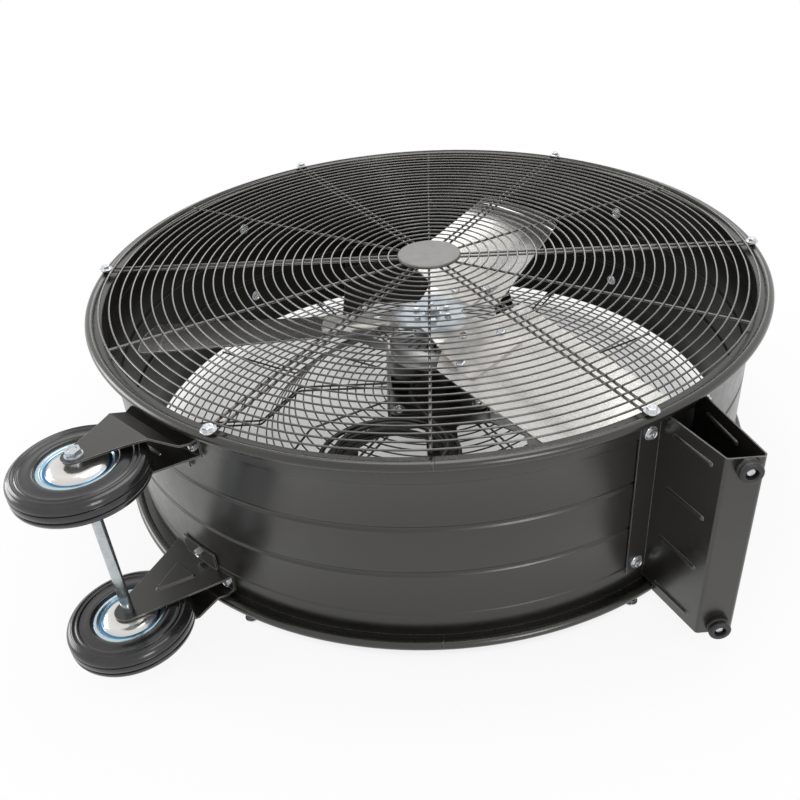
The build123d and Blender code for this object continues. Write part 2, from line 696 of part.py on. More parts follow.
def arm_face(lift):
    """A plane along the arms' outer part, this far in front of its middle; its X runs outwards."""
    tilt = radians(ROOT_PITCH)
    out = Vector(0, -sin(tilt), cos(tilt))
    return Plane(origin=Vector(0, 0, SPIDER_Z + SPIDER_SHEET / 2) + out * lift, x_dir=(1, 0, 0), z_dir=out)


def blade_station(radius, pitch):
    """The plane across a blade at this radius, tilted to its pitch; its X runs along the chord."""
    under_arm = arm_face(-(SPIDER_SHEET + BLADE_SHEET) / 2 - SEAT_GAP)
    middle = under_arm.from_local_coords(Vector(radius, BLADE_SHIFT, 0))
    tilt = radians(pitch)
    return Plane(origin=middle, x_dir=(0, cos(tilt), sin(tilt)), z_dir=(1, 0, 0))


def rivet_planes(turn=0):
    """Where one blade is riveted: seats on its arm's front face, turned about the drum's axis."""
    face = arm_face(SPIDER_SHEET / 2)
    planes = []
    for radius, chord in RIVETS:
        origin = face.from_local_coords(Vector(radius, chord, 0)).rotate(Axis.Z, turn)
        x_dir = face.x_dir.rotate(Axis.Z, turn)
        planes.append(Plane(origin=origin, x_dir=x_dir, z_dir=face.z_dir.rotate(Axis.Z, turn)))
    return planes


def blade():
    """One blade along +X: flat under its arm, then twisting to a flatter, slightly cambered tip."""
    end = TIP_RADIUS + TIP_RUN_OUT
    half, side = BLADE_CHORD / 2, BLADE_SHEET / 2
    with BuildPart() as sheet:
        with BuildSketch(arm_face(-SPIDER_SHEET / 2 - SEAT_GAP)):
            with Locations(((BLADE_TONGUE + BLADE_FLAT_END) / 2, BLADE_SHIFT)):
                Rectangle(BLADE_FLAT_END - BLADE_TONGUE, BLADE_CHORD)
        extrude(amount=-BLADE_SHEET)
        with BuildSketch(blade_station(BLADE_FLAT_END, ROOT_PITCH)):
            with BuildLine():
                Polyline((-half, -side), (half, -side), (half, side), (-half, side), close=True)
            make_face()
        with BuildSketch(blade_station(end, TIP_PITCH)):
            with BuildLine():
                ThreePointArc((-half, -side), (0, TIP_CAMBER - side), (half, -side))
                Line((half, -side), (half, side))
                ThreePointArc((half, side), (0, TIP_CAMBER + side), (-half, side))
                Line((-half, side), (-half, -side))
            make_face()
        loft(ruled=True)
        # cut to the blade's plan: a tongue, shoulders, straight edges and a round tip
        root = cos(radians(ROOT_PITCH))
        middle = BLADE_SHIFT * root
        tongue, neck = BLADE_TONGUE_WIDTH * root / 2, BLADE_NECK_WIDTH * root / 2
        shoulder = half * root - SEAT_GAP
        tip = BLADE_TIP_CHORD * cos(radians(TIP_PITCH)) / 2
        with BuildSketch(Plane.XY.offset(SPIDER_Z - BLADE_CHORD)) as trim:
            with BuildLine():
                Polyline((BLADE_TONGUE, -tongue), (BLADE_NECK, -neck), (BLADE_SHOULDER, middle - shoulder),
                         (end, middle - tip), (end, middle + tip), (BLADE_SHOULDER, middle + shoulder),
                         (BLADE_NECK, neck), (BLADE_TONGUE, tongue), close=True)
            make_face()
            Circle(TIP_RADIUS, mode=Mode.INTERSECT)
            fillet(trim.vertices().sort_by(Axis.X)[-2:], TIP_CORNER)
        extrude(amount=2 * BLADE_CHORD, mode=Mode.INTERSECT)
        with Locations(*[plane.location for plane in rivet_planes()]):
            Cylinder(RIVET_RADIUS + SEAT_GAP, 8 * BLADE_SHEET, mode=Mode.SUBTRACT)
    return sheet.part


def spider_arm():
    """One arm along +X: flat by the hub, then twisted about its own middle line to its blade's pitch."""
    middle_z = SPIDER_Z + SPIDER_SHEET / 2
    half = ARM_WIDTH / 2
    with BuildPart() as arm:
        with BuildSketch(Plane.XY.offset(SPIDER_Z)):
            with Locations((ARM_NECK / 2, 0)):
                Rectangle(ARM_NECK, ARM_WIDTH)
        extrude(amount=SPIDER_SHEET)
        with BuildSketch(Plane(origin=(ARM_NECK, 0, middle_z), x_dir=(0, 1, 0), z_dir=(1, 0, 0))):
            Rectangle(ARM_WIDTH, SPIDER_SHEET)
        tilt = radians(ROOT_PITCH)
        twisted = Plane(origin=(ARM_TWIST_END, 0, middle_z), x_dir=(0, cos(tilt), sin(tilt)), z_dir=(1, 0, 0))
        with BuildSketch(twisted):
            Rectangle(ARM_WIDTH, SPIDER_SHEET)
        loft(ruled=True)
        with BuildSketch(arm_face(-SPIDER_SHEET / 2)) as plate:
            with BuildLine():
                Polyline((ARM_TWIST_END, -half), (ARM_END, -ARM_END_WIDTH / 2), (ARM_END, ARM_END_WIDTH / 2),
                         (ARM_TWIST_END, half), close=True)
            make_face()
            fillet(plate.vertices().sort_by(Axis.X)[-2:], ARM_CORNER)
        extrude(amount=SPIDER_SHEET)
        with Locations(*[plane.location for plane in rivet_planes()]):
            Cylinder(RIVET_RADIUS + SEAT_GAP, 8 * BLADE_SHEET, mode=Mode.SUBTRACT)
    return arm.part


def impeller():
    one_blade = blade()
    for index in range(BLADES):
        with BuildPart() as placed:
            with Locations(Location((0, 0, 0), (0, 0, BLADE_ANGLE + index * 360 / BLADES))):
                add(one_blade)
        save(placed, f"blade_{index + 1}")

    arm = spider_arm()
    bolt_start = BLADE_ANGLE + 180 / HUB_BOLTS
    with BuildPart() as spider:
        with PolarLocations(0, BLADES, start_angle=BLADE_ANGLE):
            add(arm)
        # the inner corners between the arms are rounded
        meeting = ARM_WIDTH / 2 / sin(radians(180 / BLADES))
        upright = spider.edges().filter_by(Axis.Z)
        fillet([edge for edge in upright if abs(hypot((edge @ 0.5).X, (edge @ 0.5).Y) - meeting) < SPIDER_SHEET],
               SPIDER_CORNER)
        with Locations((0, 0, SPIDER_Z)):
            Cylinder(SHAFT_RADIUS + SEAT_GAP, 4 * HUB_HEIGHT, mode=Mode.SUBTRACT)
        with BuildSketch(Plane.XY.offset(SPIDER_Z)):
            with PolarLocations(HUB_BOLT_CIRCLE, HUB_BOLTS, start_angle=bolt_start):
                Circle(HUB_BOLT_SHANK + SEAT_GAP)
        extrude(amount=SPIDER_SHEET, mode=Mode.SUBTRACT)
    save(spider, "fan_spider")

    with BuildPart() as hub:
        with BuildSketch(Plane.XY.offset(SPIDER_Z - HUB_FLANGE)):
            Circle(HUB_FLANGE_RADIUS)
        extrude(amount=HUB_FLANGE)
        with BuildSketch(Plane.XY.offset(SPIDER_Z - HUB_HEIGHT)):
            Circle(HUB_RADIUS)
        extrude(amount=HUB_HEIGHT)
        fillet(hub.edges().filter_by(GeomType.CIRCLE).group_by(Axis.Z)[1], HUB_FLANGE / 4)
        with BuildSketch(Plane.XY.offset(SPIDER_Z)):
            Circle(SHAFT_RADIUS + SEAT_GAP)
            with PolarLocations(HUB_BOLT_CIRCLE, HUB_BOLTS, start_angle=bolt_start):
                Circle(HUB_BOLT_SHANK + SEAT_GAP)
        extrude(amount=-HUB_HEIGHT, mode=Mode.SUBTRACT)
    save(hub, "fan_hub")

    top = SPIDER_Z + SPIDER_SHEET
    hub_planes = []
    for index in range(HUB_BOLTS):
        x, y = polar(HUB_BOLT_CIRCLE, bolt_start + index * 360 / HUB_BOLTS)
        hub_planes.append(Plane(origin=(x, y, top)))
    hub_bolt = hex_bolt(HUB_BOLT_SHANK, SPIDER_SHEET + HUB_FLANGE, flats=HUB_BOLT_FLATS, head=HUB_BOLT_HEAD,
                        washer=HUB_WASHER_RADIUS)
    save(bolts_at(hub_planes, hub_bolt), "hub_bolts")

    with BuildPart() as nut:
        with BuildSketch(Plane.XY.offset(top)):
            Circle(SHAFT_WASHER_RADIUS)
            Circle(SHAFT_RADIUS + SEAT_GAP, mode=Mode.SUBTRACT)
        extrude(amount=SHAFT_WASHER)
        with BuildSketch(Plane.XY.offset(top + SHAFT_WASHER)):
            RegularPolygon(SHAFT_NUT_FLATS / 2, 6, major_radius=False)
            Circle(SHAFT_RADIUS + SEAT_GAP, mode=Mode.SUBTRACT)
        extrude(amount=SHAFT_NUT)
    save(nut, "shaft_nut")

    # each rivet has a rounded head on the spider's face and a flat one under the blade
    grip = BLADE_SHEET + SPIDER_SHEET + SEAT_GAP
    with BuildPart() as rivet:
        Cylinder(RIVET_HEAD_RADIUS, RIVET_HEAD, align=(Align.CENTER, Align.CENTER, Align.MIN))
        fillet(rivet.edges().group_by(Axis.Z)[-1], RIVET_HEAD * 0.8)
        Cylinder(RIVET_RADIUS, grip, align=(Align.CENTER, Align.CENTER, Align.MAX))
        with Locations((0, 0, -grip)):
            Cylinder(0.9 * RIVET_HEAD_RADIUS, RIVET_HEAD / 2, align=(Align.CENTER, Align.CENTER, Align.MAX))
    planes = []
    for index in range(BLADES):
        planes += rivet_planes(BLADE_ANGLE + index * 360 / BLADES)
    save(bolts_at(planes, rivet.part), "blade_rivets")


# ---- wheels ----

def axle_plane(z):
    """A horizontal plane centred on the wheels' axle."""
    return Plane(origin=(*polar(AXLE_RADIUS_FROM_AXIS, WHEEL_ANGLE), z))


def revolved_on_axle(points, z, name, rounded=0):
    """A ring about the axle from its section, given as distance from the axle and height above z."""
    x, y = polar(AXLE_RADIUS_FROM_AXIS, WHEEL_ANGLE)
    with BuildPart() as ring:
        with BuildSketch(Plane(origin=(x, y, z), x_dir=(1, 0, 0), z_dir=(0, -1, 0))) as section:
            with BuildLine():
                Polyline(*points, close=True)
            make_face()
            if rounded:
                tread = section.vertices().group_by(Axis.X)[-1].sort_by(Axis.Y)
                fillet([tread[0], tread[-1]], rounded)
        revolve(axis=Axis((x, y, 0), (0, 0, 1)))
    save(ring, name)


def mirrored(points):
    """A half section completed by its mirror image across the wheel's middle plane."""
    return points + [(r, -w) for r, w in reversed(points)]


def wheel(z, side, place):
    half = WHEEL_WIDTH / 2
    # the tyre has a stepped sidewall and two tread grooves
    shoulder_w = half - TYRE_SHOULDER_STEP
    groove_r = WHEEL_RADIUS - TREAD_GROOVE_DEPTH
    groove_end = TREAD_GROOVE_FROM_MIDDLE + TREAD_GROOVE_WIDTH
    tyre = [
        (TYRE_INNER_RADIUS, half - 1.5 * TYRE_BEAD_STEP),
        (TYRE_INNER_RADIUS + TYRE_BEAD_WIDTH, half - TYRE_BEAD_STEP / 2),
        (WHEEL_RADIUS - TYRE_SHOULDER, half),
        (WHEEL_RADIUS - TYRE_SHOULDER + TREAD_GROOVE_DEPTH, shoulder_w),
        (WHEEL_RADIUS, shoulder_w),
        (WHEEL_RADIUS, groove_end),
        (groove_r, groove_end - TREAD_GROOVE_DRAFT),
        (groove_r, TREAD_GROOVE_FROM_MIDDLE + TREAD_GROOVE_DRAFT),
        (WHEEL_RADIUS, TREAD_GROOVE_FROM_MIDDLE),
    ]
    revolved_on_axle(mirrored(tyre), z, f"{place}_tyre", rounded=TYRE_EDGE)
    # the rim is pressed from sheet: a raised dome round the hub, then a well and the tyre's seat
    bore = HUB_BUSH_RADIUS + SEAT_GAP
    face = half - WHEEL_RIM_SINK
    well = face - WHEEL_RIM_WELL
    foot = DOME_FOOT_RADIUS
    flange = TYRE_INNER_RADIUS - WHEEL_RIM_FLANGE
    outside = [
        (bore, face + WHEEL_RIM_DOME),
        (DOME_TOP_RADIUS, face + WHEEL_RIM_DOME - SHEET / 3),
        (foot - WHEEL_RIM_FLANGE, well + SHEET),
        (foot, well),
        (flange - WHEEL_RIM_SHEET, well),
        (flange, face),
        (TYRE_INNER_RADIUS, face),
    ]
    inside = [
        (TYRE_INNER_RADIUS - WHEEL_RIM_SHEET, 0),
        (TYRE_INNER_RADIUS - WHEEL_RIM_SHEET, face - 1.5 * WHEEL_RIM_SHEET),
        (flange - WHEEL_RIM_SHEET / 2, well - WHEEL_RIM_SHEET),
        (foot - WHEEL_RIM_FLANGE, well - WHEEL_RIM_SHEET),
        (DOME_TOP_RADIUS, face + WHEEL_RIM_DOME - 1.5 * WHEEL_RIM_SHEET),
        (bore, face + WHEEL_RIM_DOME - 1.25 * WHEEL_RIM_SHEET),
    ]
    with BuildPart() as rim:
        x, y = polar(AXLE_RADIUS_FROM_AXIS, WHEEL_ANGLE)
        with BuildSketch(Plane(origin=(x, y, z), x_dir=(1, 0, 0), z_dir=(0, -1, 0))):
            with BuildLine():
                Polyline(*mirrored(outside), close=True)
            make_face()
            with BuildLine():
                Polyline(*inside, *[(r, -w) for r, w in reversed(inside[1:])], close=True)
            make_face(mode=Mode.SUBTRACT)
        revolve(axis=Axis((x, y, 0), (0, 0, 1)))
        # drain holes in the inner side
        with BuildSketch(axle_plane(z)):
            with PolarLocations((foot + flange) / 2, DRAIN_HOLES, start_angle=180 / DRAIN_HOLES):
                Circle(DRAIN_HOLE_RADIUS)
        extrude(amount=-side * half, mode=Mode.SUBTRACT)
    save(rim, f"{place}_rim")
    low, high = INNER_ARM_Z - END_PLAY, OUTER_ARM_Z - END_PLAY
    with BuildPart() as hub:
        with BuildSketch(axle_plane(z)):
            Circle(HUB_BUSH_RADIUS)
            Circle(AXLE + AXLE_GAP, mode=Mode.SUBTRACT)
        extrude(amount=side * high)
        with BuildSketch(axle_plane(z)):
            Circle(HUB_BUSH_RADIUS)
            Circle(AXLE + AXLE_GAP, mode=Mode.SUBTRACT)
        extrude(amount=-side * low)
    save(hub, f"{place}_hub")


def wheels():
    wheel(UPPER_WHEEL_Z, 1, "upper")
    wheel(LOWER_WHEEL_Z, -1, "lower")
    reach = OUTER_ARM_Z + ARM_SHEET
    seats = ((UPPER_WHEEL_Z + reach, 1), (LOWER_WHEEL_Z - reach, -1))
    bottom = LOWER_WHEEL_Z - reach - WASHER - AXLE_NUT
    top = UPPER_WHEEL_Z + reach + WASHER + AXLE_NUT
    with BuildPart() as axle:
        with BuildSketch(axle_plane(bottom)):
            Circle(AXLE)
        extrude(amount=top - bottom)
        chamfer(axle.edges().filter_by(GeomType.CIRCLE), 1)
    save(axle, "wheel_axle")
    low = LOWER_WHEEL_Z + INNER_ARM_Z + ARM_SHEET
    high = UPPER_WHEEL_Z - INNER_ARM_Z - ARM_SHEET
    with BuildPart() as tube:
        with BuildSketch(axle_plane(low)):
            Circle(AXLE_TUBE_RADIUS)
            Circle(AXLE + AXLE_GAP, mode=Mode.SUBTRACT)
        extrude(amount=high - low)
    save(tube, "axle_tube")
    with BuildPart() as washers:
        for seat, side in seats:
            with BuildSketch(axle_plane(seat)):
                Circle(2 * AXLE)
                Circle(AXLE + AXLE_GAP, mode=Mode.SUBTRACT)
            extrude(amount=side * WASHER)
    save(washers, "axle_washers")
    with BuildPart() as nuts:
        for seat, side in seats:
            with BuildSketch(axle_plane(seat + side * WASHER)):
                RegularPolygon(AXLE_NUT_FLATS / 2, 6, major_radius=False)
                Circle(AXLE + AXLE_GAP, mode=Mode.SUBTRACT)
            extrude(amount=side * AXLE_NUT)
    save(nuts, "axle_nuts")


# ---- wheel brackets ----

def bracket(wheel_z, side, base, name):
    """A fork of folded sheet: X runs out from the drum, and Z away from the drum's middle."""
    wall = SEAT_RADIUS
    back = wall - BRACKET_SHOULDER
    inner_z = -INNER_ARM_Z - ARM_SHEET
    far = AXLE_RADIUS_FROM_AXIS + 2 * ARM_END_RADIUS
    rise = OUTER_ARM_Z + ARM_SHEET - base
    half_plan = [(back, -BRACKET_HALF_WIDTH), (BEND_START - BRACKET_SHOULDER, -BRACKET_HALF_WIDTH),
                 (BEND_END, -BRACKET_BEND_WIDTH / 2), (BEND_END + BRACKET_NECK, -BRACKET_NECK_WIDTH / 2),
                 (AXLE_RADIUS_FROM_AXIS, -OUTER_END_RADIUS)]
    # the sheet keeps its thickness round the two bends
    shift = ARM_SHEET * tan(atan2(rise, BEND_END - BEND_START) / 2)
    with BuildPart() as fork:
        # outer arm: its folded side view, cut to its plan
        with BuildSketch(Plane.XZ.offset(-2 * BRACKET_HALF_WIDTH)):
            with BuildLine():
                Polyline((back, base), (BEND_START - shift, base), (BEND_END - shift, OUTER_ARM_Z + ARM_SHEET),
                         (far, OUTER_ARM_Z + ARM_SHEET), (far, OUTER_ARM_Z), (BEND_END, OUTER_ARM_Z),
                         (BEND_START, base - ARM_SHEET), (back, base - ARM_SHEET), close=True)
            make_face()
        extrude(amount=4 * BRACKET_HALF_WIDTH)
        with BuildSketch(Plane.XY.offset(base - ARM_SHEET)):
            with BuildLine():
                Polyline(*half_plan, *[(x, -y) for x, y in reversed(half_plan)], close=True)
            make_face()
            with Locations((AXLE_RADIUS_FROM_AXIS, 0)):
                Circle(OUTER_END_RADIUS)
        extrude(amount=rise + 2 * ARM_SHEET, mode=Mode.INTERSECT)
        # inner arm, with a triangle pressed out of it
        with BuildSketch(Plane.XY.offset(inner_z)):
            with Locations((AXLE_RADIUS_FROM_AXIS, 0)):
                Circle(ARM_END_RADIUS)
            with Locations((back + 0.5, 0)):
                Rectangle(1, 2 * BRACKET_HALF_WIDTH)
            make_hull()
        extrude(amount=ARM_SHEET)
        with BuildSketch(Plane.XY.offset(inner_z)) as pressing:
            with BuildLine():
                Polyline((PRESSING_TIP, 0), (PRESSING_BASE, -PRESSING_WIDTH / 2),
                         (PRESSING_BASE, PRESSING_WIDTH / 2), close=True)
            make_face()
            fillet(pressing.vertices(), PRESSING_CORNER)
        extrude(amount=-PRESSING_HEIGHT, taper=PRESSING_TAPER)
        with BuildSketch(Plane.XY.offset(inner_z + ARM_SHEET)):
            add(pressing.sketch_local)
            offset(amount=-ARM_SHEET / 3)
        extrude(amount=-PRESSING_HEIGHT, taper=PRESSING_TAPER, mode=Mode.SUBTRACT)
        # web and tab, curved to the drum
        with BuildSketch(Plane.XY.offset(inner_z)):
            Circle(wall + ARM_SHEET)
            with Locations((wall, 0)):
                Rectangle(wall, 2 * BRACKET_HALF_WIDTH, mode=Mode.INTERSECT)
        extrude(amount=base - inner_z)
        with BuildSketch(Plane.XY.offset(inner_z)):
            Circle(wall + ARM_SHEET)
            with Locations((wall, 0)):
                Rectangle(wall, BRACKET_TAB_WIDTH, mode=Mode.INTERSECT)
        extrude(amount=-BRACKET_TAB_HEIGHT)
        with BuildSketch(Plane.XY.offset(-2 * BRACKET_HALF_WIDTH)):
            Circle(wall)
        extrude(amount=4 * BRACKET_HALF_WIDTH, mode=Mode.SUBTRACT)
        with BuildSketch(Plane.XY.offset(-2 * BRACKET_HALF_WIDTH)):
            with Locations((AXLE_RADIUS_FROM_AXIS, 0)):
                Circle(AXLE + AXLE_GAP)
        extrude(amount=4 * BRACKET_HALF_WIDTH, mode=Mode.SUBTRACT)
    with BuildPart() as placed:
        with Locations(Location((0, 0, wheel_z), (0, 0, WHEEL_ANGLE))):
            add(fork.part if side > 0 else fork.part.mirror(Plane.XY))
        with Locations(*[plane.location for plane in bracket_bolt_planes(wheel_z, side, base)]):
            Cylinder(BOLT_SHANK + HOLE_CLEARANCE, 4 * ARM_SHEET, mode=Mode.SUBTRACT)
    save(placed, name)


def wheel_brackets():
    bracket(UPPER_WHEEL_Z, 1, UPPER_BASE_Z, "upper_wheel_bracket")
    bracket(LOWER_WHEEL_Z, -1, LOWER_BASE_Z, "lower_wheel_bracket")
    grip = SEAT_RADIUS + ARM_SHEET - DRUM_RADIUS + SHEET + 2 * WALL_GAP
    bolt = hex_bolt(BOLT_SHANK, grip + NUT + 2, washer=0, grip=grip)
    save(bolts_at(all_bracket_bolt_planes(), bolt), "bracket_bolts")


# ---- stand ----

def stand():
    left_face = Vector(STAND_LEFT_X, STAND_FACE_Y)
    right_face = Vector(STAND_RIGHT_X, STAND_FACE_Y)
    left_foot = Vector(*polar(SEAT_RADIUS, STAND_LEFT_ANGLE))
    right_foot = Vector(*polar(SEAT_RADIUS, STAND_RIGHT_ANGLE))
    left_run = (left_face - left_foot).normalized()
    right_run = (right_face - right_foot).normalized()
    rim_clear = RIM_RADIUS + RIM_TUBE + 1
    inside = 10 * STAND_SHEET  # the walls are drawn on into the drum and cut there
    with BuildPart() as channel:
        # two side walls and the outer face, folded from one sheet
        with BuildSketch(Plane.XY.offset(STAND_BOTTOM_Z)) as plan:
            with BuildLine():
                Polyline(left_foot - left_run * inside, left_face, right_face,
                         right_foot - right_run * inside, close=True)
            make_face()
            fillet(plan.vertices().group_by(Axis.Y)[0], 3 * STAND_SHEET)
            offset(amount=-STAND_SHEET, mode=Mode.SUBTRACT)
            Circle(SEAT_RADIUS, mode=Mode.SUBTRACT)
        extrude(amount=STAND_TOP_Z - STAND_BOTTOM_Z)
        # the rear rim passes through
        with BuildSketch(Plane.XY.offset(STAND_BOTTOM_Z)):
            Circle(rim_clear)
        extrude(amount=REAR_RIM_Z + RIM_TUBE + 3 - STAND_BOTTOM_Z, mode=Mode.SUBTRACT)
        # flanges on the drum
        turn = degrees(FLANGE_WIDTH / SEAT_RADIUS)
        overlap = degrees(STAND_SHEET / SEAT_RADIUS)
        sectors = ((STAND_LEFT_ANGLE - turn, STAND_LEFT_ANGLE + overlap),
                   (STAND_RIGHT_ANGLE - overlap, STAND_RIGHT_ANGLE + turn))
        for start, end in sectors:
            with BuildSketch(Plane.XY.offset(FLANGE_BOTTOM_Z)):
                with BuildLine():
                    Polyline((0, 0), polar(2 * SEAT_RADIUS, start), polar(2 * SEAT_RADIUS, end), close=True)
                make_face()
                Circle(SEAT_RADIUS + STAND_SHEET, mode=Mode.INTERSECT)
                Circle(SEAT_RADIUS, mode=Mode.SUBTRACT)
            extrude(amount=FLANGE_TOP_Z - FLANGE_BOTTOM_Z)
        # pressed beads across both side walls
        for foot, run, way in ((left_foot, left_run, 1), (right_foot, right_run, -1)):
            into_sheet = Vector(-run.Y, run.X) * (way * STAND_SHEET / 2)
            for z in BEAD_HEIGHTS:
                start = foot + run * BEAD_START + into_sheet + Vector(0, 0, z)
                stop = foot + run * BEAD_END + into_sheet + Vector(0, 0, z)
                with BuildSketch(Plane(origin=start, z_dir=run)):
                    Circle(BEAD_RADIUS)
                extrude(amount=BEAD_END - BEAD_START)
                with Locations(start, stop):
                    Sphere(BEAD_RADIUS)
        with Locations(*[plane.location for plane in stand_bolt_planes()]):
            Cylinder(BOLT_SHANK + HOLE_CLEARANCE, 8 * STAND_SHEET, mode=Mode.SUBTRACT)
        with BuildSketch(Plane.XZ.offset(-STAND_FACE_Y)):
            with Locations(*pad_centres()):
                Circle(PAD_SCREW + SEAT_GAP)
        extrude(amount=-3 * STAND_SHEET, mode=Mode.SUBTRACT)
    save(channel, "stand_foot")
    grip = SEAT_RADIUS + STAND_SHEET - DRUM_RADIUS + SHEET + 2 * WALL_GAP
    bolt = hex_bolt(BOLT_SHANK, grip + NUT + 2, grip=grip)
    save(bolts_at(stand_bolt_planes(), bolt), "foot_bolts")

    for name, centre in zip(("lower_foot_pad", "upper_foot_pad"), pad_centres()):
        with BuildPart() as pad:
            with BuildSketch(Plane.XZ.offset(-STAND_FACE_Y)):
                with Locations(centre):
                    Circle(PAD_RADIUS)
                    Circle(PAD_SCREW + SEAT_GAP, mode=Mode.SUBTRACT)
            extrude(amount=PAD_HEIGHT)
            fillet(pad.edges().filter_by(GeomType.CIRCLE).group_by(Axis.Y)[0].sort_by(SortBy.RADIUS)[-1], PAD_EDGE)
            with BuildSketch(Plane.XZ.offset(PAD_HEIGHT - STAND_FACE_Y)):
                with Locations(centre):
                    Circle(PAD_RECESS_RADIUS)
            extrude(amount=-PAD_RECESS, mode=Mode.SUBTRACT)
        save(pad, name)
    with BuildPart() as screws:
        with BuildSketch(Plane.XZ.offset(PAD_HEIGHT - PAD_RECESS - STAND_FACE_Y)):
            with Locations(*pad_centres()):
                Circle(PAD_SCREW_HEAD_RADIUS)
        extrude(amount=PAD_SCREW_HEAD)
        with BuildSketch(Plane.XZ.offset(-STAND_FACE_Y - STAND_SHEET)):
            with Locations(*pad_centres()):
                RegularPolygon(PAD_NUT_FLATS / 2, 6, major_radius=False)
        extrude(amount=-PAD_NUT)
        with BuildSketch(Plane.XZ.offset(PAD_HEIGHT - PAD_RECESS - STAND_FACE_Y)):
            with Locations(*pad_centres()):
                Circle(PAD_SCREW)
        extrude(amount=PAD_RECESS - PAD_HEIGHT - STAND_SHEET - PAD_NUT)
    save(screws, "foot_pad_screws")


def pad_centres():
    """The pads' centres on the stand's outer face."""
    return [(PAD_X, STAND_BOTTOM_Z + PAD_INSET), (PAD_X, STAND_TOP_Z - PAD_INSET)]


# ---- handles and switch ----

def handles():
    for name, angle in zip(("left_handle", "right_handle"), HANDLE_ANGLES):
        radius = DRUM_RADIUS + WALL_GAP
        seat = radial_plane(radius, angle, MIDDLE_Z)
        half = HANDLE_SPAN / 2
        side = Plane(origin=seat.origin, x_dir=seat.z_dir, z_dir=-seat.x_dir)
        with BuildPart() as handle:
            with BuildLine(side) as path:
                FilletPolyline((0, -half), (HANDLE_HEIGHT, -half), (HANDLE_HEIGHT, half), (0, half),
                               radius=HANDLE_BEND)
            with BuildSketch(Plane(origin=path.line @ 0, z_dir=path.line % 0)):
                Circle(HANDLE_TUBE)
            sweep()
            with BuildSketch(seat):
                with Locations((0, -half), (0, half)):
                    Circle(HANDLE_PLATE_RADIUS)
            extrude(amount=HANDLE_PLATE)
            with BuildSketch(seat):
                with Locations((0, -half), (0, half)):
                    Circle(BOLT_SHANK + SEAT_GAP)
            extrude(amount=HANDLE_TAPPING, mode=Mode.SUBTRACT)
        save(handle, name)
    save(bolts_at(handle_bolt_planes(), hex_bolt(BOLT_SHANK, HANDLE_TAPPING)), "handle_bolts")


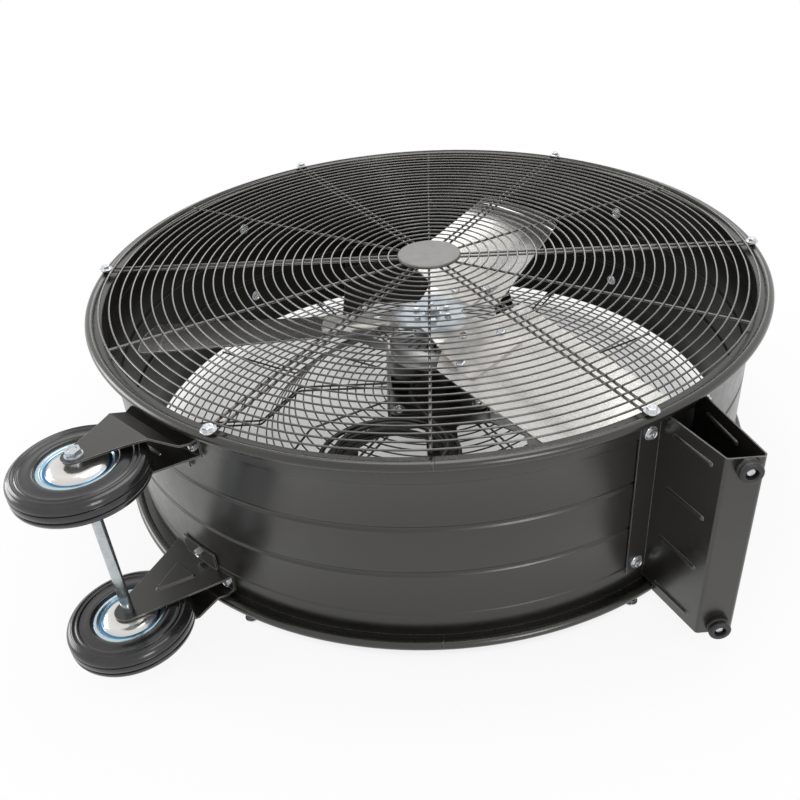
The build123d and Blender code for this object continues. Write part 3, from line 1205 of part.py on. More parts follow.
def switch():
    axis_plane = radial_plane(0, SWITCH_ANGLE, MIDDLE_Z)
    near = DRUM_RADIUS + WALL_GAP
    far = DRUM_RADIUS + SWITCH_HEIGHT
    start = near - 10
    with BuildPart() as box:
        with BuildSketch(axis_plane.offset(start)):
            RectangleRounded(SWITCH_WIDTH, SWITCH_LENGTH, SWITCH_CORNER)
        extrude(amount=far - start)
        with BuildSketch(axis_plane.offset(start)):
            RectangleRounded(SWITCH_WIDTH - 2 * SWITCH_WALL, SWITCH_LENGTH - 2 * SWITCH_WALL,
                             SWITCH_CORNER - SWITCH_WALL)
        extrude(amount=far - start - SWITCH_WALL, mode=Mode.SUBTRACT)
        # ears beyond both ends, for the screws
        with BuildSketch(axis_plane.offset(start)):
            for way in (-1, 1):
                with Locations((0, way * (SWITCH_LENGTH + SWITCH_EAR) / 2)):
                    Rectangle(SWITCH_EAR_WIDTH, SWITCH_EAR + 2)
        extrude(amount=near + SWITCH_WALL - start)
        with BuildSketch(axis_plane.offset(far)):
            Circle(KNOB_STEM + SHAFT_GAP)
        extrude(amount=-SWITCH_WALL, mode=Mode.SUBTRACT)
        with BuildSketch(Plane.XY):
            Circle(near)
        extrude(amount=2 * MIDDLE_Z, mode=Mode.SUBTRACT)
        with Locations(*[plane.location for plane in switch_screw_planes()]):
            Cylinder(SWITCH_SCREW + HOLE_CLEARANCE, 8 * SWITCH_WALL, mode=Mode.SUBTRACT)
        # entry for the cable, in the end towards the rear
        end = Plane(origin=axis_plane.offset(near + SWITCH_HEIGHT / 2).origin, z_dir=(0, 0, -1))
        with BuildSketch(end.offset(SWITCH_LENGTH / 2)):
            Circle(GLAND_STEM + SEAT_GAP)
        extrude(amount=-SWITCH_WALL - 1, mode=Mode.SUBTRACT)
    save(box, "switch_box")
    with BuildPart() as gland:
        with BuildSketch(end.offset(SWITCH_LENGTH / 2 - 8)):
            Circle(GLAND_STEM)
        extrude(amount=8)
        with BuildSketch(end.offset(SWITCH_LENGTH / 2)):
            RegularPolygon(GLAND_RADIUS, 6, major_radius=False)
        extrude(amount=GLAND_NUT)
        with BuildSketch(end.offset(SWITCH_LENGTH / 2 + GLAND_NUT)):
            Circle(GLAND_RADIUS - 1)
        extrude(amount=GLAND_LENGTH - GLAND_NUT, taper=GLAND_TAPER)
    save(gland, "cord_gland")
    with BuildPart() as knob:
        with BuildSketch(axis_plane.offset(far + KNOB_GAP)):
            Circle(KNOB_RADIUS)
        extrude(amount=KNOB_SKIRT)
        fillet(knob.edges().filter_by(GeomType.CIRCLE), 1)
        # the grip is a bar across the skirt, narrower at its pointing end
        back, front = -0.9 * KNOB_RADIUS, 0.95 * KNOB_RADIUS
        with BuildSketch(axis_plane.offset(far + KNOB_GAP + KNOB_SKIRT)) as grip:
            with BuildLine():
                Polyline((back, -KNOB_GRIP_WIDTH / 2), (front, -KNOB_GRIP_END / 2), (front, KNOB_GRIP_END / 2),
                         (back, KNOB_GRIP_WIDTH / 2), close=True)
            make_face()
            fillet(grip.vertices(), KNOB_GRIP_END / 3)
        extrude(amount=KNOB_HEIGHT - KNOB_SKIRT, taper=KNOB_TAPER)
        with BuildSketch(axis_plane.offset(far + KNOB_GAP)):
            Circle(KNOB_STEM)
        extrude(amount=-KNOB_STEM_LENGTH)
    save(knob, "switch_knob")
    screw = hex_bolt(SWITCH_SCREW, SWITCH_WALL + 3 * SWITCH_SCREW, flats=SWITCH_SCREW_FLATS,
                     head=SWITCH_SCREW_HEAD, washer=0)
    save(bolts_at(switch_screw_planes(), screw), "switch_screws")


drum_shell()
drum_rim(FRONT_RIM_Z, 1, "front_rim")
drum_rim(REAR_RIM_Z, -1, "rear_rim")
front_guard()
rear_guard()
motor_mount()
motor()
impeller()
wheels()
wheel_brackets()
stand()
handles()
switch()
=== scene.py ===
# %% [markdown]
# # A drum fan, dressed for its portrait
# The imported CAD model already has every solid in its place, in metres. This notebook adds a camera, plain
# studio light, real finishes and the details that repeat. The fan lies on its rear side, so +Z points out
# of its front guard. The sizes that repeat the CAD model's are in millimetres, and MM turns them into
# metres.

# %% Load the frame
import json
import math

import bmesh
import bpy
from mathutils import Matrix, Vector


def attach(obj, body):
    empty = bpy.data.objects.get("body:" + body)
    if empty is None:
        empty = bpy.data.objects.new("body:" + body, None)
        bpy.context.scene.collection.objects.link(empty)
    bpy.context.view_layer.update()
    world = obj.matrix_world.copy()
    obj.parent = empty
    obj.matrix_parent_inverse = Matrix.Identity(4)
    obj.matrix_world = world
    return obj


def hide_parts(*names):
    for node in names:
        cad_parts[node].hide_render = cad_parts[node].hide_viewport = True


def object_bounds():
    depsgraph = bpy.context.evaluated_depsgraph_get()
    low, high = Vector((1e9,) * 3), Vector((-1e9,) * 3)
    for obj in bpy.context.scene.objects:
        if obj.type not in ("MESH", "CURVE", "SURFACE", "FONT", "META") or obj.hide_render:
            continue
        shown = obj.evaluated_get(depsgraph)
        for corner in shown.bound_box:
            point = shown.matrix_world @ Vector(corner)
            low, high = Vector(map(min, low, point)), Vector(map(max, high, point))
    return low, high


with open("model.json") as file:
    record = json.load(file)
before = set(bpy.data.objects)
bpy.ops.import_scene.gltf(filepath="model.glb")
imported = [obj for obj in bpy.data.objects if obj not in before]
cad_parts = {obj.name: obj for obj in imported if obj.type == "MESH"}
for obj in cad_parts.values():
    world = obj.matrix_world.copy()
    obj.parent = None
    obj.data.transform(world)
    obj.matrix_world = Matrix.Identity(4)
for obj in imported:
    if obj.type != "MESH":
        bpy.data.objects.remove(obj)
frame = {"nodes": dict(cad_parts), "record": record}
cad_low, cad_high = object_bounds()
nodes = frame["nodes"]
MM = 0.001
print("CAD nodes:", len(nodes))

# %% [markdown]
# ## Camera
# The picture was taken from in front of the fan and above it, with the horizon a little tilted. The lens is
# given by its focal length in pixels of an 800 pixel square, and the small shift says where the lens axis
# meets that square. A camera could be aimed with a Track To constraint, but that leaves no room for the
# tilt. It looks along its own -Z, so the columns of its matrix are right, up and back.

# %% The camera
IMAGE = 800
FOCAL_PIXELS = 858.74
AXIS_PIXEL = (450.5, 379.9)
SENSOR = 36
CAMERA_PLACE = (-0.0396, -1.3857, 1.0174)
YAW, PITCH, ROLL = (math.radians(a) for a in (2.818, 33.456, -2.462))

forward = Vector((math.sin(YAW) * math.cos(PITCH), math.cos(YAW) * math.cos(PITCH), -math.sin(PITCH)))
level = Vector((math.cos(YAW), -math.sin(YAW), 0))
above = level.cross(forward)
right = level * math.cos(ROLL) + above * math.sin(ROLL)
up = above * math.cos(ROLL) - level * math.sin(ROLL)

lens = bpy.data.cameras.new("portrait_lens")
lens.sensor_width = SENSOR
lens.lens = FOCAL_PIXELS / IMAGE * SENSOR
lens.shift_x = (IMAGE / 2 - AXIS_PIXEL[0]) / IMAGE
lens.shift_y = (AXIS_PIXEL[1] - IMAGE / 2) / IMAGE
camera = bpy.data.objects.new("portrait_camera", lens)
turn = Matrix((right, up, -forward)).transposed()
camera.matrix_world = Matrix.Translation(CAMERA_PLACE) @ turn.to_4x4()
bpy.context.scene.collection.objects.link(camera)
bpy.context.scene.camera = camera
bpy.context.scene.view_settings.view_transform = "Standard"
print("lens", round(lens.lens, 2), "mm, shift", round(lens.shift_x, 4), round(lens.shift_y, 4))

# %% [markdown]
# ## Node helpers
# A material is a small tree of nodes. These helpers add a node, set its plain values by socket name and
# link its inputs, so that each finish below reads as a short list.


# %% Helpers for nodes
def tree_of(owner):
    """The empty node tree of a material or a world."""
    owner.use_nodes = True
    owner.node_tree.nodes.clear()
    return owner.node_tree


def node(tree, kind, values=None, links=None, **settings):
    """Adds a node, sets its properties and plain values, and links its inputs."""
    made = tree.nodes.new(kind)
    for name, value in settings.items():
        setattr(made, name, value)
    for name, value in (values or {}).items():
        made.inputs[name].default_value = value
    for name, source in (links or {}).items():
        tree.links.new(source, made.inputs[name])
    return made


def maths(tree, operation, *inputs):
    """A math node: each input is a socket or a plain number."""
    made = node(tree, "ShaderNodeMath", operation=operation)
    for k, item in enumerate(inputs):
        if isinstance(item, (int, float)):
            made.inputs[k].default_value = item
        else:
            tree.links.new(item, made.inputs[k])
    return made.outputs[0]


def dot(tree, first, second):
    """The dot product of a socket and a socket or a plain vector."""
    made = node(tree, "ShaderNodeVectorMath", links={0: first}, operation="DOT_PRODUCT")
    if isinstance(second, (tuple, Vector)):
        made.inputs[1].default_value = second
    else:
        tree.links.new(second, made.inputs[1])
    return made.outputs["Value"]


# %% Helpers for values and colours
def ramp(tree, factor, stops):
    """A colour ramp from (place, colour) stops."""
    made = node(tree, "ShaderNodeValToRGB", links={"Fac": factor})
    band = made.color_ramp
    while len(band.elements) < len(stops):
        band.elements.new(0.5)
    for element, (place, colour) in zip(band.elements, stops):
        element.position = place
        element.color = (*colour, 1)
    return made.outputs["Color"]


def spread(tree, value, low, high, to_low=0.0, to_high=1.0):
    """Stretches the range low to high over another range, without going past its ends."""
    ends = {"From Min": low, "From Max": high, "To Min": to_low, "To Max": to_high}
    return node(tree, "ShaderNodeMapRange", ends, {"Value": value}).outputs["Result"]


def blended(tree, share, first, second):
    """Two colours mixed: each is a socket or a plain colour."""
    made = node(tree, "ShaderNodeMix", data_type="RGBA")
    tree.links.new(share, made.inputs[0])
    for k, item in ((6, first), (7, second)):
        if isinstance(item, tuple):
            made.inputs[k].default_value = (*item, 1)
        else:
            tree.links.new(item, made.inputs[k])
    return made.outputs[2]


def tinted(tone, red, green, blue):
    """A dark tone with a slight cast."""
    return (tone * red, tone * green, tone * blue)


def sideways(tree, place):
    """A place without its height."""
    return node(tree, "ShaderNodeVectorMath", {1: (1, 1, 0)}, {0: place}, operation="MULTIPLY").outputs[0]


def from_axis(tree, place, centre=(0, 0, 0)):
    """The distance from an upright axis through centre."""
    moved = node(tree, "ShaderNodeMapping", {"Location": tuple(-c for c in centre)}, {"Vector": place})
    flat = sideways(tree, moved.outputs[0])
    return node(tree, "ShaderNodeVectorMath", links={0: flat}, operation="LENGTH").outputs["Value"]


# %% [markdown]
# ## Floor and backdrop
# The background is plain white. A bright world alone would give it, but would also wash the fan out, so two
# worlds are mixed: a dim one for diffuse light, and a white one for rays from the lens and for reflections.
# The same rays see the floor lit by itself, mixed with a share of its real shading. That share is small
# round the fan, where only a faint shadow shows, and larger inside the drum, where the real floor is seen
# dimmed through the rear guard.

# %% Floor and world
FLOOR_Z = cad_low.z
FLOOR_HALF = 30  # metres
FLOOR_PAINT = 0.92
SHADE_ROUND_FAN = 0.10
SHADE_IN_DRUM = 0.62
DRUM_EDGE = (0.52, 0.57)  # metres from the drum's axis, where the floor passes under its wall
SHADOW_ENDS = (0.65, 1.05)  # metres from the axis, where the last shadow fades out
DIFFUSE_WORLD = 0.5
WHITE = (1, 1, 1, 1)


def seen_directly(tree):
    """One for rays from the lens, reflections and transmissions, and nothing for diffuse light."""
    path = node(tree, "ShaderNodeLightPath")
    either = maths(tree, "MAXIMUM", path.outputs["Is Camera Ray"], path.outputs["Is Glossy Ray"])
    return maths(tree, "MAXIMUM", either, path.outputs["Is Transmission Ray"])


def mixed_by(tree, share, first, second, output):
    """Two shaders mixed and sent to the output node."""
    mixed = node(tree, "ShaderNodeMixShader", links={0: share})
    tree.links.new(first.outputs[0], mixed.inputs[1])
    tree.links.new(second.outputs[0], mixed.inputs[2])
    node(tree, output, links={"Surface": mixed.outputs[0]})


def white_floor():
    floor = bpy.data.meshes.new("studio_floor")
    corners = [(x * FLOOR_HALF, y * FLOOR_HALF, FLOOR_Z) for x, y in ((-1, -1), (1, -1), (1, 1), (-1, 1))]
    floor.from_pydata(corners, [], [(0, 1, 2, 3)])
    made = bpy.data.objects.new("studio_floor", floor)
    bpy.context.scene.collection.objects.link(made)
    paint = bpy.data.materials.new("white_floor")
    tree = tree_of(paint)
    far = from_axis(tree, node(tree, "ShaderNodeTexCoord").outputs["Object"])
    near = spread(tree, far, *DRUM_EDGE, 1 - SHADE_IN_DRUM, 1 - SHADE_ROUND_FAN)
    glow = maths(tree, "ADD", near, spread(tree, far, *SHADOW_ENDS, 0.0, SHADE_ROUND_FAN))
    shaded = node(tree, "ShaderNodeBsdfDiffuse", {"Color": (FLOOR_PAINT, FLOOR_PAINT, FLOOR_PAINT, 1)})
    lit = node(tree, "ShaderNodeEmission", {"Color": WHITE, "Strength": 1.0})
    share = maths(tree, "MULTIPLY", seen_directly(tree), glow)
    mixed_by(tree, share, shaded, lit, "ShaderNodeOutputMaterial")
    floor.materials.append(paint)


def studio_world(strength):
    world = bpy.data.worlds.new("studio_world")
    tree = tree_of(world)
    soft = node(tree, "ShaderNodeBackground", {"Color": WHITE, "Strength": strength})
    white = node(tree, "ShaderNodeBackground", {"Color": WHITE, "Strength": 1.0})
    mixed_by(tree, seen_directly(tree), soft, white, "ShaderNodeOutputWorld")
    bpy.context.scene.world = world


white_floor()
studio_world(DIFFUSE_WORLD)
print("floor at z", round(FLOOR_Z, 4), "and world at", DIFFUSE_WORLD)

# %% [markdown]
# ## Softboxes
# A shop's ceiling lights and windows give broad, soft highlights on the paint. Point lamps would give hard
# sparks, so four rectangular area lamps stand in for them: one overhead, one in front for the stand and the
# wall, one on the left and one behind, which grazes the upper faces.


# %% Softboxes
def softbox(name, place, target, size, power):
    """A rectangular area lamp that faces its target: metres and watts."""
    lamp = bpy.data.lights.new(name, "AREA")
    lamp.shape = "RECTANGLE"
    lamp.size, lamp.size_y = size
    lamp.energy = power
    made = bpy.data.objects.new(name, lamp)
    aim = (Vector(target) - Vector(place)).to_track_quat("-Z", "Y")
    made.matrix_world = Matrix.Translation(place) @ aim.to_matrix().to_4x4()
    bpy.context.scene.collection.objects.link(made)


softbox("overhead", (0.2, 0.2, 2.6), (0, 0, 0.2), (1.8, 1.8), 26)
softbox("front_window", (1.1, -2.9, 1.2), (0.1, 0, 0.2), (0.8, 1.3), 22)
softbox("left_fill", (-3.0, 0.5, 1.0), (0, 0, 0.2), (1.5, 1.3), 30)
softbox("back_window", (0.1, 3.2, 2.2), (0, 0, 0.3), (2.4, 1.0), 17)

# %% [markdown]
# ## Finishes
# Each finish starts from what the real surface is. Its colour, roughness and small relief could come from
# painted images, but patterns worked out from the place itself need no unwrapping and stay sharp close up.
# All of them read Object coordinates, which are metres here, because every piece stays at the origin.


# %% Small parts of every finish
EDGE_STARTS, EDGE_FULL = 0.97, 0.80  # how far the rounded normal agrees with the true one


def finish_nodes(name):
    """A new material, its tree and its object coordinates."""
    made = bpy.data.materials.new(name)
    tree = tree_of(made)
    return made, tree, node(tree, "ShaderNodeTexCoord").outputs["Object"]


def surface(tree, colour, rough, normal, values=None):
    """A shader with its colour, roughness and relief, sent to the output."""
    links = {"Base Color": colour, "Roughness": rough, "Normal": normal}
    shader = node(tree, "ShaderNodeBsdfPrincipled", values, links)
    node(tree, "ShaderNodeOutputMaterial", links={"Surface": shader.outputs[0]})
    return shader


def noise(tree, place, scale, detail, rough=0.5):
    values = {"Scale": scale, "Detail": detail, "Roughness": rough}
    return node(tree, "ShaderNodeTexNoise", values, {"Vector": place}).outputs["Fac"]


def cells(tree, place, scale):
    """The distance from the nearest of many scattered points."""
    return node(tree, "ShaderNodeTexVoronoi", {"Scale": scale}, {"Vector": place}).outputs["Distance"]


def bump(tree, height, distance, strength, normal=None):
    made = node(tree, "ShaderNodeBump", {"Distance": distance, "Strength": strength}, {"Height": height})
    if normal:
        tree.links.new(normal, made.inputs["Normal"])
    return made.outputs["Normal"]


def middling(tree, pattern, limits):
    """Spreads the middle of a noise pattern over a pair of limits."""
    return spread(tree, pattern, 0.3, 0.7, *limits)


def edge_share(tree, radius):
    """One along sharp edges, where a rounded normal leaves the true one, and nothing elsewhere."""
    rounded = node(tree, "ShaderNodeBevel", {"Radius": radius}, samples=4)
    true = node(tree, "ShaderNodeNewGeometry")
    same = dot(tree, rounded.outputs[0], true.outputs["Normal"])
    return spread(tree, same, EDGE_STARTS, EDGE_FULL)


# %% [markdown]
# ## Powder coat
# The drum, the guards, the brackets and the stand are powder coated: a black satin film with a very fine
# orange peel and a clear gloss over it. A plain dark colour looks like plastic, so a slow cloud of warmer
# black lies under a clear coat. The Bevel node finds the sharp edges, and a pale colour is painted along them
# as a highlight where cut edges catch the light. The rolled rims have a butt weld at the front, ground nearly
# flush, and the drum's inner face has a thinner, duller film than its outer face, told apart by whether a
# surface faces the axis.

# %% Powder coat
COAT_PEEL = (0.0001, 0.1)  # distance in metres and strength of the orange peel
# A pale colour painted along sharp edges as a highlight.
EDGE_HIGHLIGHT_PAINT = (0.34, 0.33, 0.31)
WELD_ANGLE = math.radians(-92.5)
WELD_HALF = (0.0008, 0.0020)  # metres from the weld's line, full and faded
WELD_COLOUR = (0.045, 0.044, 0.042)
WELD_HEIGHT = 0.0012
INNER_OUTER_SPECULAR = (0.12, 0.5)
FACE_TURNS = 0.1  # place times normal, in metres, where one film gives way to the other


def weld_line(tree, place):
    """One on the thin line across a rolled rim where its ends meet, and nothing elsewhere."""
    across = Vector((-math.sin(WELD_ANGLE), math.cos(WELD_ANGLE), 0))
    beside = maths(tree, "ABSOLUTE", dot(tree, place, across))
    in_front = maths(tree, "GREATER_THAN", dot(tree, place, (0, -1, 0)), 0.0)
    return maths(tree, "MULTIPLY", spread(tree, beside, *WELD_HALF, 1.0, 0.0), in_front)


def dull_inner_face(tree, place, shader, gloss):
    """Takes most of the shine off the faces that look towards the fan's axis."""
    normal = node(tree, "ShaderNodeNewGeometry").outputs["Normal"]
    outer = dot(tree, sideways(tree, place), normal)
    for socket, limits in (("Specular IOR Level", INNER_OUTER_SPECULAR), ("Coat Weight", (0.0, gloss))):
        tree.links.new(spread(tree, outer, -FACE_TURNS, FACE_TURNS, *limits), shader.inputs[socket])


def powder_coat(name, tone, rough=(0.28, 0.36), gloss=0.3, edge=0.0016, weld=False, dull_inside=False):
    made, tree, place = finish_nodes(name)
    stops = [(0.30, tinted(tone, 1.0, 0.95, 0.88)), (0.75, tinted(tone, 1.7, 1.58, 1.42))]
    colour = ramp(tree, noise(tree, place, 3.5, 5.0, 0.6), stops)
    # Paints a pale highlight along sharp edges, where cut edges catch the light.
    if edge:
        colour = blended(tree, edge_share(tree, edge), colour, EDGE_HIGHLIGHT_PAINT)
    skin = bump(tree, noise(tree, place, 260, 2.0), *COAT_PEEL)
    if weld:
        line = weld_line(tree, place)
        colour = blended(tree, line, colour, WELD_COLOUR)
        skin = bump(tree, line, WELD_HEIGHT, 1.0, skin)
    satin = middling(tree, noise(tree, place, 60, 3.0), rough)
    film = {"IOR": 1.55, "Specular Tint": (1.0, 0.985, 0.95, 1), "Coat Weight": gloss, "Coat Roughness": 0.2}
    shader = surface(tree, colour, satin, skin, film)
    if dull_inside:
        dull_inner_face(tree, place, shader, gloss)
    return made


# %% The five coats
coat = powder_coat("satin_black_coat", 0.010, gloss=0.42)
wall_coat = powder_coat("satin_black_drum_wall", 0.009, dull_inside=True)
rim_coat = powder_coat("satin_black_rolled_tube", 0.009, (0.24, 0.32), 0.4, edge=0, weld=True)
wire_coat = powder_coat("satin_black_wire", 0.035, (0.18, 0.26), 1.0, edge=0)
plate_coat = powder_coat("satin_guard_plate", 0.07, (0.36, 0.46))
print("materials with the coats:", len(bpy.data.materials))

# %% [markdown]
# ## Zinc plating and bare metal
# Bolts, the axle and its tube are zinc plated: a bright metal with a cool cast and a faint crystal mottle.
# The shaft is machined and the motor's end bell is cast, which differ in tone, roughness and grain but not
# in kind, so one function makes them all. Voronoi cells give the crystals, and noise breaks them up.


# %% Zinc plating
def zinc(name, tone, rough, mottle, metal=0.9, edge=0.0):
    made, tree, place = finish_nodes(name)
    crystals = cells(tree, place, mottle)
    broken = noise(tree, place, mottle * 0.6, 6.0, 0.65)
    low = tuple(c * 0.82 for c in tone)
    high = tuple(min(1.0, c * 1.12) for c in tone)
    colour = ramp(tree, maths(tree, "MULTIPLY_ADD", crystals, 0.25, broken), [(0.35, low), (0.80, high)])
    # Paints a near-white highlight along sharp edges; the bolts use it.
    if edge:
        colour = blended(tree, edge_share(tree, edge), colour, (0.95, 0.96, 0.97))
    worn = middling(tree, broken, rough)
    surface(tree, colour, worn, bump(tree, broken, 0.0002, 0.2), {"Metallic": metal})
    return made


bright_zinc = zinc("bright_zinc", (0.58, 0.61, 0.64), (0.16, 0.30), 260, 0.85)
tube_zinc = zinc("drawn_zinc_tube", (0.48, 0.515, 0.53), (0.14, 0.22), 120)
# Its heads get a painted near-white highlight along their edges.
bolt_zinc = zinc("bolt_zinc", (0.64, 0.66, 0.68), (0.12, 0.24), 300, 0.85, edge=0.0006)
bare_steel = zinc("machined_steel", (0.52, 0.52, 0.52), (0.28, 0.42), 400)
cast = zinc("cast_aluminium", (0.66, 0.66, 0.66), (0.38, 0.52), 500, 0.8)
print("materials with the metals:", len(bpy.data.materials))

# %% [markdown]
# ## Spider plate
# The spider is pressed plate. Its flat middle keeps a cool, spangled zinc, while its arms are duller and
# warmer. Two materials on one piece would meet in a hard line, so the distance from the axis blends two
# colour ramps.


# %% Spider plate
ARMS_BEGIN = (0.060, 0.085)  # metres from the axis


def spider_zinc():
    made, tree, place = finish_nodes("spangled_zinc_plate")
    broken = noise(tree, place, 40, 6.0, 0.65)
    mottle = maths(tree, "MULTIPLY_ADD", cells(tree, place, 70), 0.35, broken)
    cool = ramp(tree, mottle, [(0.35, (0.34, 0.38, 0.41)), (0.85, (0.50, 0.55, 0.59))])
    warm = ramp(tree, mottle, [(0.35, (0.58, 0.57, 0.54)), (0.85, (0.72, 0.70, 0.665))])
    colour = blended(tree, spread(tree, from_axis(tree, place), *ARMS_BEGIN), cool, warm)
    worn = middling(tree, broken, (0.30, 0.44))
    surface(tree, colour, worn, bump(tree, mottle, 0.0002, 0.2), {"Metallic": 0.85})
    return made


# %% [markdown]
# ## Aluminium sheet
# The blades are cut from rolled aluminium. Rolling leaves fine lines along the sheet, handling leaves dull
# stains, and a shallow fold runs across each blade near its tip. The sheared edges are rough, and a pale
# colour painted along them stands in for the highlight that they catch. An anisotropic shader would
# stretch the highlights, but it needs tangents, so noise that is stretched along the blade draws the lines.

# %% Aluminium sheet
TIP_FOLD = 0.480  # metres from the axis
FOLD_HALF = 0.002
SHEARED_EDGE_AND_HIGHLIGHT = (0.93, 0.93, 0.92)
METAL_TO_EDGE = (0.92, 0.2)
ROLLING_LINES = (6.0, 240.0, 6.0)  # waves per metre along, across and through it


def blade_sheet(name, turned_by):
    """Rolled sheet with its lines turned to the blade's direction, in degrees."""
    made, tree, place = finish_nodes(name)
    back = (0, 0, -math.radians(turned_by))
    turned = node(tree, "ShaderNodeMapping", {"Rotation": back}, {"Vector": place})
    drawn = node(tree, "ShaderNodeMapping", {"Scale": ROLLING_LINES}, {"Vector": turned.outputs[0]})
    lines = noise(tree, drawn.outputs[0], 1.0, 4.0, 0.7)
    stains = noise(tree, turned.outputs[0], 9.0, 6.0, 0.65)
    edges = edge_share(tree, 0.0030)
    sheet = ramp(tree, stains, [(0.30, (0.69, 0.675, 0.645)), (0.72, (0.75, 0.735, 0.70))])
    # The edges are rougher and less metallic, and their pale colour is a painted highlight.
    colour = blended(tree, edges, sheet, SHEARED_EDGE_AND_HIGHLIGHT)
    satin = maths(tree, "MAXIMUM", middling(tree, lines, (0.17, 0.24)), maths(tree, "MULTIPLY", edges, 0.6))
    fold = spread(tree, from_axis(tree, place), TIP_FOLD - FOLD_HALF, TIP_FOLD + FOLD_HALF)
    skin = bump(tree, lines, 0.00006, 0.08, bump(tree, fold, 0.0020, 0.8))
    shader = surface(tree, colour, satin, skin)
    tree.links.new(spread(tree, edges, 0.0, 1.0, *METAL_TO_EDGE), shader.inputs["Metallic"])
    return made


# %% [markdown]
# ## Rubber and plastic
# The tyres and pads are nearly black rubber, glossy from the mould and paler where dust sits, and the
# switch box and the cord are moulded plastic. All are a dark base with a grey cloud and a fine skin, and
# the tyres get a clear coat as well, because low roughness alone doesn't give a smooth mould's shine.


# %% Rubber and plastic
def rubber(name, tone, rough, gloss=0.0, edge=0.0):
    made, tree, place = finish_nodes(name)
    stops = [(0.38, tinted(tone, 1.0, 1.0, 1.0)), (0.80, tinted(tone, 2.4, 2.3, 2.2))]
    colour = ramp(tree, noise(tree, place, 30, 5.0, 0.65), stops)
    # Paints a paler colour along sharp edges as a highlight; the switch box uses it.
    if edge:
        colour = blended(tree, edge_share(tree, edge), colour, (0.10, 0.098, 0.095))
    worn = middling(tree, noise(tree, place, 150, 3.0), rough)
    skin = bump(tree, noise(tree, place, 700, 2.0), 0.0002, 0.25)
    surface(tree, colour, worn, skin, {"Coat Weight": gloss, "Coat Roughness": 0.12})
    return made


tyre_rubber = rubber("moulded_tyre", 0.009, (0.16, 0.28), 0.36)
pad_rubber = rubber("moulded_pad", 0.013, (0.38, 0.50))
switch_plastic = rubber("moulded_switch", 0.015, (0.32, 0.44), edge=0.0012)
cord_plastic = rubber("cord_jacket", 0.008, (0.30, 0.42))
print("materials with rubber and plastic:", len(bpy.data.materials))

# %% [markdown]
# ## Finishes for the CAD nodes
# A node whose shape is right keeps its mesh and only gets a better material. The record says which material
# slot each node belongs to, so the finishes follow the record, and a few nodes have a finish of their own:
# each blade's sheet is turned to the blade's own direction.

# %% Give every node its finish
BLADE_ANGLES = {"blade_1": 61, "blade_2": 181, "blade_3": -59}
by_slot = {"black_powder_coat": coat, "black_coated_wire": wire_coat, "zinc_plated_steel": bright_zinc,
           "cast_aluminium": cast, "bare_steel": bare_steel, "black_rubber": pad_rubber,
           "tyre_rubber": tyre_rubber, "black_plastic": switch_plastic}
special = {"fan_spider": spider_zinc(), "axle_tube": tube_zinc, "front_guard_plate": plate_coat}
for name, angle in BLADE_ANGLES.items():
    special[name] = blade_sheet(f"rolled_aluminium_{name[-1]}", angle)

for entry in frame["record"]["subparts"]:
    mesh = nodes[entry["node"]].data
    mesh.materials.clear()
    mesh.materials.append(special.get(entry["node"]) or by_slot[entry["material_slot"]])

# %% [markdown]
# ## Geometry Nodes trees
# Turned pieces and rows of rings and bolts follow rules, so each comes from a small tree with named inputs.
# A tree is run on a bare object, its result is taken as a plain mesh, and the object is thrown away, so no
# modifier is left. Every tree ends by making its copies real and giving them their material.


# %% Making a tree
def new_tree(name, inputs):
    """A tree with a geometry input and output and some named inputs between."""
    tree = bpy.data.node_groups.new(name, "GeometryNodeTree")
    tree.interface.new_socket("Geometry", in_out="INPUT", socket_type="NodeSocketGeometry")
    for label, kind in inputs:
        tree.interface.new_socket(label, in_out="INPUT", socket_type=kind)
    tree.interface.new_socket("Geometry", in_out="OUTPUT", socket_type="NodeSocketGeometry")
    return tree, tree.nodes.new("NodeGroupInput").outputs


def end_of_tree(tree, geometry, material):
    real = node(tree, "GeometryNodeRealizeInstances", links={"Geometry": geometry})
    smooth = node(tree, "GeometryNodeSetShadeSmooth", links={"Geometry": real.outputs[0]})
    painted = node(tree, "GeometryNodeSetMaterial",
                   links={"Geometry": smooth.outputs[0], "Material": material})
    tree.links.new(painted.outputs[0], tree.nodes.new("NodeGroupOutput").inputs[0])


def round_wire(tree, radius, sides):
    """The round section that a sweep carries along."""
    made = node(tree, "GeometryNodeCurvePrimitiveCircle", {"Resolution": sides}, {"Radius": radius})
    return made.outputs[0]


# %% Running a tree
def socket_of(tree, name):
    """The identifier of a named input, which a modifier needs."""
    return next(item.identifier for item in tree.interface.items_tree
                if item.item_type == "SOCKET" and item.in_out == "INPUT" and item.name == name)


def grown(tree, values, base=None):
    """Sets a tree's inputs on a bare object, and returns the plain mesh that it makes."""
    holder = bpy.data.objects.new("grower", base or bpy.data.meshes.new("seed"))
    bpy.context.scene.collection.objects.link(holder)
    modifier = holder.modifiers.new("grow", "NODES")
    modifier.node_group = tree
    for name, value in values.items():
        modifier[socket_of(tree, name)] = value
    bpy.context.view_layer.update()
    mesh = bpy.data.meshes.new_from_object(holder.evaluated_get(bpy.context.evaluated_depsgraph_get()))
    holder.modifiers.clear()
    bpy.data.objects.remove(holder)
    return mesh


def piece_from(mesh, name, body, material, sharp):
    """A piece that rides on a body, with its corners past an angle in degrees kept sharp."""
    mesh.shade_smooth()
    mesh.set_sharp_from_angle(angle=math.radians(sharp))
    mesh.materials.clear()
    mesh.materials.append(material)
    made = bpy.data.objects.new(name, mesh)
    bpy.context.scene.collection.objects.link(made)
    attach(made, body)
    return made


# %% [markdown]
# ## Turned pieces
# The drum, its rims, the tyres, the wheels' discs and the pads are all one closed section carried round an
# axis. A Screw modifier could do that, but a tree keeps the section and the steps as named inputs. It bends
# a grid: each row takes its radius and height from one point of the section, and each column is one step
# round. The section goes round with its solid on the left, and the rows and columns that meet are merged.


# %% The turning tree
MERGE_DISTANCE = 1e-6  # metres


